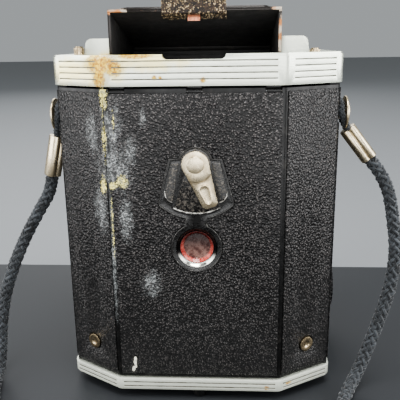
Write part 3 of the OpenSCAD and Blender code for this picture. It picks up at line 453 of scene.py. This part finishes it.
def black_rubber():
    """Dry, greying rubber."""
    finish = Finish("black_rubber", Specular_IOR_Level=0.3)
    finish.feed("Base Color", finish.mixed(finish.noise(2, 5), srgb(24, 24, 24), srgb(58, 56, 53)))
    finish.feed("Roughness", finish.span(finish.noise(1, 4), 0.3, 0.7, 0.6, 0.85))
    finish.bumps((finish.noise(0.5, 4), 0.05))
    return finish.material


def braided_cord():
    """Dark twisted yarn: pale and dark fibres that run along each strand, and a little fuzz."""
    finish = Finish("braided_cord", Specular_IOR_Level=0.3, Sheen_Weight=0.25, Sheen_Roughness=0.5)
    lay = finish.add("ShaderNodeAttribute", attribute_name="yarn").outputs["Vector"]
    ply = finish.add("ShaderNodeTexNoise", {"Vector": lay, "Scale": 1.0, "Detail": 2.0}).outputs["Fac"]
    fuzz = finish.noise(0.35, 4, 0.7)
    shade = finish.mixed(finish.span(ply, 0.35, 0.65), srgb(10, 11, 13), srgb(62, 66, 70))
    shade = finish.mixed(finish.span(fuzz, 0.62, 0.76, 0.0, 0.4), shade, srgb(108, 113, 117))
    finish.feed("Base Color", shade)
    finish.feed("Roughness", finish.span(fuzz, 0.3, 0.7, 0.6, 0.85))
    finish.bumps((ply, 0.10), (fuzz, 0.05))
    return finish.material


def crumbs(name, dark, light):
    """Matt, chalky grains whose colour changes from crumb to crumb."""
    finish = Finish(name, Specular_IOR_Level=0.2)
    finish.feed("Base Color", finish.mixed(finish.span(finish.noise(0.7, 4, 0.7), 0.35, 0.65), dark, light))
    finish.feed("Roughness", finish.span(finish.noise(0.4), 0.3, 0.7, 0.75, 0.95))
    finish.bumps((finish.noise(0.2, 3), 0.04))
    return finish.material


def make_finishes():
    """Every material, by the name of its slot or of the worn piece that wears it."""
    return {
        "black_moulding": enamel("black_moulding", srgb(14, 14, 15), srgb(34, 34, 35), 0.20, 0.42, 0.01),
        "bright_metal": bright_metal(),
        "grained_leather": grained_leather(),
        "black_enamel": enamel("black_enamel", srgb(16, 16, 16), srgb(44, 42, 40), 0.26, 0.50, 0.012, True),
        # Painted fill light: a lighter copy of the black enamel for the hood, so that its shaded inside does
        # not go black.
        "hood_black_fill_lit": enamel("hood_black_fill_lit", srgb(56, 55, 54), srgb(80, 76, 72), 0.35, 0.6, 0.02),
        # Painted fill light: kept lighter than a true matt black, so that the shaded insides it covers do not
        # go black.
        "matt_black": enamel("matt_black", srgb(36, 35, 35), srgb(54, 52, 50), 0.5, 0.75, 0.03),
        "nickel": plated("nickel", srgb(214, 201, 174), srgb(188, 172, 142), 0.20, 0.34, 0.92),
        "steel": plated("steel", srgb(150, 150, 152), srgb(112, 106, 98), 0.3, 0.5),
        "brass": plated("brass", srgb(200, 182, 150), srgb(84, 72, 56), 0.16, 0.40),
        "copper": plated("copper", srgb(214, 150, 122), srgb(140, 84, 62), 0.25, 0.5),
        "corroded_plate": corroded_plate(),
        "clear_glass": clear_glass(),
        "red_celluloid": red_celluloid(),
        "silvered_mirror": silvered_mirror(),
        "black_rubber": black_rubber(),
        "braided_cord": braided_cord(),
        "dried_crust": crumbs("dried_crust", srgb(140, 138, 112), srgb(226, 218, 164)),
        "sandy_crust": crumbs("sandy_crust", srgb(92, 76, 56), srgb(196, 178, 146)),
        "frame_lacquer": frame_lacquer(),
        # Partly wear and partly painted highlight: pale, much rubbed edges on the frame and on its beads stand
        # in for the light lines along them.
        "frame_rim_wear_and_highlight": rubbed_edge("frame_rim_wear_and_highlight", srgb(44, 43, 42), srgb(160, 158, 152), srgb(110, 106, 100),
                                 0.6),
        "bead_wear_and_highlight": rubbed_edge("bead_wear_and_highlight", srgb(96, 94, 90), srgb(206, 204, 198), srgb(170, 166, 158),
                                 1.0),
        "hood_rim": rubbed_edge("hood_rim", srgb(34, 30, 27), srgb(176, 164, 148), srgb(170, 112, 62), 0.35),
        "ring_metal": ring_metal(),
        # Painted shade: darker, duller metal on the faces inside the bands' grooves.
        "groove_painted_shade": plated("groove_painted_shade", srgb(150, 150, 140), srgb(96, 92, 80), 0.5, 0.7, 0.4),
    }


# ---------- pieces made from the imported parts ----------

def link(name, mesh, body, slot):
    """A new piece of one material that rides on a body."""
    piece = bpy.data.objects.new(name, mesh)
    bpy.context.scene.collection.objects.link(piece)
    mesh.materials.clear()
    mesh.materials.append(finishes[slot])
    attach(piece, body)
    return piece


SHARP, SHADED_SHARP, FLAT = math.radians(30), math.radians(48), math.radians(1)
REARWARD = -0.7      # the normal's y of a face that looks to the rear


def worn_or_shaded_face(face, levels, tall, rear):
    """Whether a face lies in a shallow groove, which gets painted shade, or looks to the rear and stands out
    past rear mm.
    """
    heights = [v.co.z / MM for v in face.verts]
    if any(z - 0.01 <= min(heights) and max(heights) <= z + tall + 0.01 for z in levels):
        return True
    return face.normal.y < REARWARD and face.calc_center_median().y < rear * MM


def softened(node, width):
    """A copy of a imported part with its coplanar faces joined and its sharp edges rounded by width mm."""
    piece = link(node + "_soft", nodes[node].data.copy(), body_of_node[node], slot_of_node[node])
    coat, rim, rear = WORN.get(node, (slot_of_node[node], None, -100))
    levels, tall = GROOVES.get(node, ((), 0))
    piece.data.materials[0] = finishes[coat]
    if rim or levels:
        piece.data.materials.append(finishes[rim or "groove_painted_shade"])
    shape = bmesh.new()
    shape.from_mesh(piece.data)
    bmesh.ops.remove_doubles(shape, verts=shape.verts, dist=0.0005 * MM)
    bmesh.ops.dissolve_limit(shape, angle_limit=FLAT, verts=shape.verts, edges=shape.edges)
    for face in shape.faces:
        face.material_index = int(worn_or_shaded_face(face, levels, tall, rear))
    sharp = [e for e in shape.edges if len(e.link_faces) == 2 and e.calc_face_angle() > SHARP]
    if node == "back_leather":
        sharp = [e for e in sharp if max(abs(v.co.x) for v in e.verts) > FRAME_REACH * MM]
    bmesh.ops.bevel(shape, geom=sharp, offset=width * MM, segments=2, profile=0.5, affect="EDGES",
                    clamp_overlap=True, harden_normals=False, loop_slide=False, material=1 if rim else -1)
    bmesh.ops.triangulate(shape, faces=[f for f in shape.faces if len(f.verts) > 4])
    for face in shape.faces:
        face.smooth = True
    for edge in shape.edges:
        edge.smooth = not (len(edge.link_faces) == 2 and edge.calc_face_angle(0) > SHADED_SHARP)
    shape.to_mesh(piece.data)
    shape.free()
    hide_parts(node)
    return piece


# ---------- the braided strap ----------

REAR = 36.0          # from the middle of the camera to its rear face
LEFT_ROUTE = [(-47.9, 17.8, 69.9), (-49.6, 18, 64), (-53.6, 18, 57.5), (-58.7, 17, 48.5), (-63.1, 16, 39),
              (-66.6, 15, 29), (-68.6, 14, 19), (-69.4, 13, 10.5), (-69.3, 10, 4.6), (-68.6, 4, 2.4),
              (-65.8, -5, 2.3), (-60.5, -15, 2.3), (-52, -26, 2.3), (-42.5, -36, 2.3), (-34, -46, 2.3),
              (-28.6, -53, 2.3)]
RIGHT_ROUTE = [(53.2, 17.6, 75.2), (56.8, 17.2, 70.6), (59.6, 16, 64.5), (61.2, 14.6, 56), (62.3, 13.4, 46.5),
               (61.6, 12.4, 37), (59.6, 11.4, 28), (56.6, 10.4, 18.5), (53.2, 8.6, 9.6), (49.8, 5.4, 4.2),
               (46.6, 0, 2.5), (43.6, -8, 2.3), (40, -17, 2.3), (36, -27, 2.3), (32.4, -37, 4.2),
               (29.8, -46, 6.2), (28, -54, 6.9)]
COIL_AT = (0, -58)
COIL_OUT, COIL_IN = 27.3, 22.6
COIL_LOW, COIL_HIGH = 2.3, 6.95
COIL_TURNS = 3.5
STEPS_PER_TURN = 16


def eased(value, low, high):
    """0 below low and 1 above high, with a smooth rise between them."""
    t = min(1.0, max(0.0, (value - low) / (high - low)))
    return t * t * (3 - 2 * t)


def coil_route():
    """Turns that lie beside and on each other: outside, inside, then up and back out."""
    route = []
    for k in range(1, int(COIL_TURNS * STEPS_PER_TURN) + 1):
        turn = k / STEPS_PER_TURN
        inward = eased(turn, 0.8, 1.0) - eased(turn, 2.5, 2.75)
        ring = COIL_OUT - (COIL_OUT - COIL_IN) * inward
        height = COIL_LOW + (COIL_HIGH - COIL_LOW) * eased(turn, 1.6, 1.9)
        angle = math.radians(180 + 360 * turn)
        route.append((COIL_AT[0] + ring * math.cos(angle), COIL_AT[1] + ring * math.sin(angle), height))
    return [(COIL_AT[0] - COIL_OUT, COIL_AT[1], COIL_LOW)] + route


def smooth_line(points, step):
    """Points step metres apart, or a little less, on a smooth curve through the given ones."""
    line = []
    for i in range(len(points) - 1):
        a, b = points[max(i - 1, 0)], points[i]
        c, d = points[i + 1], points[min(i + 2, len(points) - 1)]
        count = max(1, math.ceil((c - b).length / step))
        for k in range(count):
            t = k / count
            line.append(0.5 * ((2 * b) + (c - a) * t + (2 * a - 5 * b + 4 * c - d) * t * t
                               + (3 * b - a - 3 * c + d) * t ** 3))
    return line + [points[-1]]


def strap_line():
    """The strap's middle line, from the left ferrule through the coil to the right ferrule, in metres."""
    route = LEFT_ROUTE + coil_route() + RIGHT_ROUTE[::-1]
    return smooth_line([Vector((x, y - REAR, z)) * MM for x, y, z in route], 1.0 * MM)


class Growth:
    """A short way to write a geometry node tree."""

    def __init__(self, name, **sizes):
        self.group = bpy.data.node_groups.new(name, "GeometryNodeTree")
        self.group.interface.new_socket(name="Geometry", in_out="INPUT", socket_type="NodeSocketGeometry")
        self.group.interface.new_socket(name="Geometry", in_out="OUTPUT", socket_type="NodeSocketGeometry")
        self.keys = {}
        for key, value in sizes.items():
            kind = "NodeSocketInt" if isinstance(value, int) else "NodeSocketFloat"
            label = key.replace("_", " ")
            socket = self.group.interface.new_socket(name=label, in_out="INPUT", socket_type=kind)
            socket.default_value = value
            self.keys[key] = socket.identifier
        self.inputs = self.group.nodes.new("NodeGroupInput").outputs

    def size(self, key):
        return self.inputs[key.replace("_", " ")]

    def add(self, kind, inputs=None, **settings):
        node = self.group.nodes.new(kind)
        for key, value in settings.items():
            setattr(node, key, value)
        for key, value in (inputs or {}).items():
            if isinstance(value, bpy.types.NodeSocket):
                self.group.links.new(value, node.inputs[key])
            else:
                node.inputs[key].default_value = value
        return node

    def maths(self, operation, a, b=0.0, c=0.0):
        return self.add("ShaderNodeMath", {0: a, 1: b, 2: c}, operation=operation).outputs[0]

    def vectors(self, operation, inputs):
        return self.add("ShaderNodeVectorMath", inputs, operation=operation).outputs[0]

    def circle(self, sides, radius):
        return self.add("GeometryNodeCurvePrimitiveCircle", {"Resolution": sides, "Radius": radius}).outputs[0]

    def tube(self, line, profile):
        """A profile drawn along a line, closed at both ends."""
        inputs = {"Curve": line, "Profile Curve": profile, "Fill Caps": True}
        return self.add("GeometryNodeCurveToMesh", inputs).outputs[0]

    def stored(self, geometry, name, value, kind="FLOAT"):
        """The geometry with a value kept on its points under a name."""
        inputs = {"Geometry": geometry, "Name": name, "Value": value}
        return self.add("GeometryNodeStoreNamedAttribute", inputs, data_type=kind, domain="POINT").outputs[0]

    def finish(self, geometry, material):
        """Ends the tree: everything made real, in one material."""
        real = self.add("GeometryNodeRealizeInstances", {0: geometry}).outputs[0]
        painted = self.add("GeometryNodeSetMaterial", {"Geometry": real, "Material": material}).outputs[0]
        self.group.links.new(painted, self.group.nodes.new("NodeGroupOutput").inputs[0])

    def grown(self, name, source, **sizes):
        """The plain mesh that the tree makes from an object, which is then removed."""
        modifier = source.modifiers.new(self.group.name, "NODES")
        modifier.node_group = self.group
        for key, value in sizes.items():
            modifier[self.keys[key]] = value
        view = bpy.context.evaluated_depsgraph_get()
        view.update()
        mesh = bpy.data.meshes.new_from_object(source.evaluated_get(view), depsgraph=view)
        mesh.name = name
        bpy.data.objects.remove(source)
        return mesh


def line_object(name, points):
    """A curve object of one straight-sided spline through the points."""
    data = bpy.data.curves.new(name, "CURVE")
    data.dimensions = "3D"
    spline = data.splines.new("POLY")
    spline.points.add(len(points) - 1)
    for point, place in zip(spline.points, points):
        point.co = (*place, 1)
    piece = bpy.data.objects.new(name, data)
    bpy.context.scene.collection.objects.link(piece)
    return piece


def braid_tree():
    """Strands that wind both ways round a line and pass over and under each other, on a thin core."""
    tree = Growth("braid", Strands_each_way=4, Ring=1.20 * MM, Wave=0.42 * MM, Yarn=0.68 * MM,
                  Pitch=10.4 * MM, Step=0.56 * MM)
    route = tree.inputs["Geometry"]
    line = tree.add("GeometryNodeResampleCurve", {"Curve": route, "Length": tree.size("Step")},
                    mode="LENGTH").outputs[0]
    each_way = tree.size("Strands_each_way")
    twice = tree.maths("MULTIPLY", each_way, 2)
    copies = tree.add("GeometryNodeDuplicateElements", {"Geometry": line, "Amount": twice}, domain="SPLINE")
    index = copies.outputs["Duplicate Index"]
    hand = tree.maths("MULTIPLY_ADD", tree.maths("MODULO", index, 2), 2, -1)
    along = tree.add("GeometryNodeSplineParameter").outputs["Length"]
    wound = tree.maths("MULTIPLY", tree.maths("DIVIDE", along, tree.size("Pitch")), math.tau)
    share = tree.maths("DIVIDE", tree.maths("FLOOR", tree.maths("DIVIDE", index, 2)), each_way)
    angle = tree.maths("MULTIPLY_ADD", hand, wound, tree.maths("MULTIPLY", share, math.tau))
    over = tree.maths("COSINE", tree.maths("MULTIPLY", wound, each_way))
    weave = tree.maths("MULTIPLY", tree.maths("MULTIPLY", over, hand), tree.size("Wave"))
    reach = tree.maths("ADD", tree.size("Ring"), weave)
    normal = tree.add("GeometryNodeInputNormal").outputs[0]
    tangent = tree.add("GeometryNodeInputTangent").outputs[0]
    side = tree.vectors("CROSS_PRODUCT", {0: tangent, 1: normal})
    ahead = tree.maths("MULTIPLY", reach, tree.maths("COSINE", angle))
    aside = tree.maths("MULTIPLY", reach, tree.maths("SINE", angle))
    out = tree.vectors("SCALE", {0: normal, "Scale": ahead})
    across = tree.vectors("SCALE", {0: side, "Scale": aside})
    offset = tree.vectors("ADD", {0: out, 1: across})
    marked = tree.stored(copies.outputs[0], "along", along)
    strands = tree.add("GeometryNodeSetPosition", {"Geometry": marked, "Offset": offset}).outputs[0]
    turn = tree.add("GeometryNodeSplineParameter").outputs["Factor"]
    tubes = tree.tube(strands, tree.stored(tree.circle(6, tree.size("Yarn")), "around", turn))
    coarse = tree.add("GeometryNodeResampleCurve", {"Curve": route, "Length": 2 * MM}, mode="LENGTH").outputs[0]
    core = tree.tube(coarse, tree.circle(8, tree.size("Ring")))
    whole = tree.add("GeometryNodeJoinGeometry")
    for part in (core, tubes):
        tree.group.links.new(part, whole.inputs[0])
    lengthwise = tree.add("GeometryNodeInputNamedAttribute", {"Name": "along"}, data_type="FLOAT").outputs[0]
    crosswise = tree.add("GeometryNodeInputNamedAttribute", {"Name": "around"}, data_type="FLOAT").outputs[0]
    twist = tree.maths("MULTIPLY_ADD", lengthwise, 300.0, tree.maths("MULTIPLY", crosswise, 9.0))
    stretch = tree.maths("MULTIPLY", lengthwise, 120.0)
    lay = tree.add("ShaderNodeCombineXYZ", {0: twist, 1: stretch}).outputs[0]
    laid = tree.stored(whole.outputs[0], "yarn", lay, "FLOAT_VECTOR")
    tree.finish(tree.add("GeometryNodeSetShadeSmooth", {"Geometry": laid}).outputs[0], finishes["braided_cord"])
    return tree


def make_strap(tree):
    """The whole strap between its two ferrules, as one cord."""
    line = strap_line()
    mesh = tree.grown("neck_strap", line_object("strap_line", line))
    strap = link("neck_strap", mesh, "body", "braided_cord")
    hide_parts("strap_cord_left", "strap_cord_right", "strap_coil")


STUD_X, STUD_Y, STUD_Z = 43.3, 17.0, 89.7      # STUD_Y is counted from the rear face
LOOP_R, NECK_R = 1.2, 2.1
# Each ferrule's lean, as a direction, and its length in mm
FERRULE = {"left": ((3, 0, 13.4), 13.2), "right": ((-7.8, 0.2, 10.1), 11.8)}


def loop_line(side):
    """The doubled end of the cord: up one leg, round the stud's neck and down the other."""
    sign = -1 if side == "left" else 1
    end = Vector((LEFT_ROUTE if side == "left" else RIGHT_ROUTE)[0])
    lean, long = FERRULE[side]
    top = end + long * Vector(lean).normalized()
    ring = NECK_R + LOOP_R
    middle = Vector(((top.x + sign * STUD_X) / 2, 0, (top.z + STUD_Z) / 2))
    points = [top + Vector((0, -1.2, 0)), middle + Vector((0, STUD_Y - ring + 0.9, 0))]
    for k in range(9):
        angle = math.radians(180 - 22.5 * k)
        along, up = STUD_Y + ring * math.cos(angle), STUD_Z + ring * math.sin(angle)
        points.append(Vector((sign * STUD_X, along, up)))
    points += [middle + Vector((0, STUD_Y + ring - 0.9, 0)), top + Vector((0, 1.2, 0))]
    return smooth_line([(p - Vector((0, REAR, 0))) * MM for p in points], 0.5 * MM)


def make_loops(tree):
    """The strap's doubled ends, of the same braid drawn thinner."""
    thin = dict(Ring=0.62 * MM, Wave=0.17 * MM, Yarn=0.40 * MM, Pitch=4.9 * MM, Step=0.3 * MM)
    for side in FERRULE:
        mesh = tree.grown("strap_loop_" + side, line_object("loop_line", loop_line(side)), **thin)
        loop = link("strap_loop_" + side, mesh, "body", "braided_cord")
        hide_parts("strap_loops")


# ---------- the window frame's beads ----------

FRAME_REACH = 13.0                   # half the width that the frame's opening in the covering needs
PIVOT_Z, WINDOW_Z = 77.2, 51.7       # heights of the lever's pivot and of the red window's middle


def arc(x, z, radius, start, end, steps=24):
    """Points (x, z) on a circle, from one angle to another in degrees, 0 towards +X and 90 upwards."""
    turns = [math.radians(start + (end - start) * k / steps) for k in range(steps + 1)]
    return [(x + radius * math.cos(t), z + radius * math.sin(t)) for t in turns]


def frame_line():
    """The frame's outline: round the window, up the neck, out round the shield and over the arch."""
    right = arc(0, WINDOW_Z, 7.45, -90, 65) + arc(0, PIVOT_Z, 16.45, -79.5, -49) + [(10.9, 65.8), (7.6, 78.5)]
    right += arc(0, PIVOT_Z, 4.95, 16, 90, 10)
    return right + [(-x, z) for x, z in right[-2:0:-1]]


FIELD_CORNER = [(9.1, 69.2), (8.95, 67.6), (8.1, 66.3), (6.9, 65.8)]

# Each bead: its line as x and z, whether it is closed, its depth, its radius and its finish
BEADS = {
    "frame_bead": (frame_line(), True, -36.72, 0.2, "frame_rim_wear_and_highlight"),
    "sector_bead": (arc(0, PIVOT_Z, 14.75, -117, -61.5, 20), False, -36.66, 0.26, "bead_wear_and_highlight"),
    "field_bead_left": ([(-x, z) for x, z in FIELD_CORNER], False, -36.7, 0.17, "bead_wear_and_highlight"),
    "field_bead_right": (FIELD_CORNER, False, -36.7, 0.17, "bead_wear_and_highlight"),
}


def bead_tree():
    """A round bead along a line."""
    tree = Growth("bead", Thickness=0.2 * MM, Sides=8)
    tube = tree.tube(tree.inputs["Geometry"], tree.circle(tree.size("Sides"), tree.size("Thickness")))
    tree.finish(tree.add("GeometryNodeSetShadeSmooth", {"Geometry": tube}).outputs[0], finishes["frame_rim_wear_and_highlight"])
    return tree


def make_beads():
    """Rounded, worn edges of the window's frame, which ride on the back; their pale, partly bare finish is
    partly wear and partly a painted highlight.
    """
    tree = bead_tree()
    for name, (points, closed, depth, thick, finish) in BEADS.items():
        line = line_object(name, [Vector((x, depth, z)) * MM for x, z in points])
        line.data.splines[0].use_cyclic_u = closed
        mesh = tree.grown(name, line, Thickness=thick * MM)
        link(name, mesh, "back", "black_enamel").data.materials[0] = finishes[finish]


# ---------- crust ----------

def crust_tree(finish):
    """Grains strewn over a surface at random, each turned and sized by chance."""
    tree = Growth("crust_" + finish, Grains_per_area=2.0e6, Smallest=0.08 * MM, Largest=0.26 * MM,
                  Flatness=0.6, Seed=3)
    inputs = {"Mesh": tree.inputs["Geometry"], "Density": tree.size("Grains_per_area"),
              "Seed": tree.size("Seed")}
    strewn = tree.add("GeometryNodeDistributePointsOnFaces", inputs, distribute_method="RANDOM")
    grain = tree.add("GeometryNodeMeshIcoSphere", {"Radius": 1.0, "Subdivisions": 1}).outputs[0]
    chance = tree.add("FunctionNodeRandomValue", {"Seed": tree.size("Seed")}, data_type="FLOAT")
    tree.group.links.new(tree.size("Smallest"), chance.inputs[2])
    tree.group.links.new(tree.size("Largest"), chance.inputs[3])
    wide = chance.outputs[1]
    deep, high = tree.maths("MULTIPLY", wide, 0.7), tree.maths("MULTIPLY", wide, tree.size("Flatness"))
    scale = tree.add("ShaderNodeCombineXYZ", {0: wide, 1: deep, 2: high}).outputs[0]
    inputs = {"Min": (-0.5, -0.5, -3.1), "Max": (0.5, 0.5, 3.1), "Seed": tree.size("Seed")}
    turned = tree.add("FunctionNodeRandomValue", inputs, data_type="FLOAT_VECTOR").outputs[0]
    inputs = {0: strewn.outputs["Rotation"], 1: turned}
    aim = tree.add("FunctionNodeRotateRotation", inputs, rotation_space="LOCAL").outputs[0]
    inputs = {"Points": strewn.outputs["Points"], "Instance": grain, "Rotation": aim, "Scale": scale}
    placed = tree.add("GeometryNodeInstanceOnPoints", inputs).outputs[0]
    tree.finish(placed, finishes[finish])
    return tree


OVAL_SIDES = 14


def patches(name, ovals, depth_at):
    """Flat ovals (x, z, half width, half height in mm) laid on the surface y = depth_at(x)."""
    shape = bmesh.new()
    for x, z, across, tall in ovals:
        corners = []
        for k in range(OVAL_SIDES):
            angle = math.tau * k / OVAL_SIDES
            east, up = x + across * math.cos(angle), z + tall * math.sin(angle)
            corners.append(shape.verts.new((east * MM, depth_at(east) * MM, up * MM)))
        shape.faces.new(corners)
    bmesh.ops.triangulate(shape, faces=shape.faces[:])
    mesh = bpy.data.meshes.new(name)
    shape.to_mesh(mesh)
    shape.free()
    source = bpy.data.objects.new(name, mesh)
    bpy.context.scene.collection.objects.link(source)
    return source


CORNER_X, CORNER_D, SIDE_X = 25.4, 10.4, 42.0      # where the slanted corner begins, its depth, and its end
SKIN_T = 0.4                                       # the covering's thickness
SUNK = 0.08                                        # how far the grains' ground lies below its face


def covering_y(x):
    """Depth of the covering's face: flat behind, slanted at the corner."""
    slant = max(0.0, -x - CORNER_X) * CORNER_D / (SIDE_X - CORNER_X)
    return -REAR - SKIN_T + SUNK + slant


def make_crusts():
    """Loose flakes on the thickest stains of the back, and gritty rust on the hood's tab."""
    flakes = crust_tree("dried_crust")
    thick = [(x, z, across * 0.8, tall * 0.85) for x, z, across, tall in STREAK]
    mesh = flakes.grown("dried_flakes", patches("flake_ground", thick, covering_y), Grains_per_area=1.6e6)
    link("dried_flakes", mesh, "back", "grained_leather").data.materials[0] = finishes["dried_crust"]
    ground = bpy.data.objects.new("tab_ground", nodes["hood_tab"].data.copy())
    bpy.context.scene.collection.objects.link(ground)
    rusty = crust_tree("sandy_crust")
    mesh = rusty.grown("tab_crust", ground, Grains_per_area=2.4e6, Largest=0.34 * MM, Seed=11)
    link("tab_crust", mesh, "hood", "corroded_plate").data.materials[0] = finishes["sandy_crust"]


# ---------- making it ----------

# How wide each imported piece's edges are rounded, in mm
SOFT_EDGES = {
    "top_cover": 0.09, "base_plate": 0.1, "feet": 0.3, "side_leathers": 0.16, "front_plate": 0.3,
    "viewing_lens_ring": 0.25, "lens_housing": 0.25, "lens_retainer": 0.15, "release_lever": 0.15,
    "selector_lever": 0.15, "wind_knob": 0.25, "wind_collar": 0.1, "hood_lid": 0.14, "hood_wings": 0.12,
    "hood_tab": 0.1, "hood_catch": 0.08, "back_shell": 0.18, "back_leather": 0.16, "corner_leathers": 0.16,
    "back_rivets": 0.12, "window_bezel": 0.12, "window_ring": 0.08, "window_lever": 0.13, "lever_rivet": 0.2,
    "strap_studs": 0.3, "strap_ferrules": 0.2, "deck_studs": 0.1, "tripod_bush": 0.15, "front_screws": 0.12,
}

# Heights of the shallow grooves, and how tall they are; the faces inside them get painted shade
GROOVES = {"top_cover": ((100.95, 102.6, 104.25, 105.9), 0.35), "base_plate": ((4.3, 5.7), 0.4)}

# Worn pieces: their coat, the finish of their edges, and how far back a rear edge is worn through. Some coats
# and edges carry painted light: the ring's painted reflection, the hood's painted fill light and the frame
# rim's painted highlight.
WORN = {
    "window_bezel": ("frame_lacquer", "frame_rim_wear_and_highlight", -100),
    "window_ring": ("ring_metal", None, -100),
    "hood_lid": ("hood_black_fill_lit", "hood_rim", -32),
    "hood_wings": ("hood_black_fill_lit", "hood_rim", -29),
}

bpy.context.scene.view_settings.look = "AgX - Medium High Contrast"
make_camera()
make_lights()
make_floor()
finishes = make_finishes()
for node, piece in nodes.items():
    piece.data.materials.clear()
    piece.data.materials.append(finishes[slot_of_node[node]])
braid = braid_tree()
make_strap(braid)
make_loops(braid)
for node, width in SOFT_EDGES.items():
    softened(node, width)
make_beads()
make_crusts()
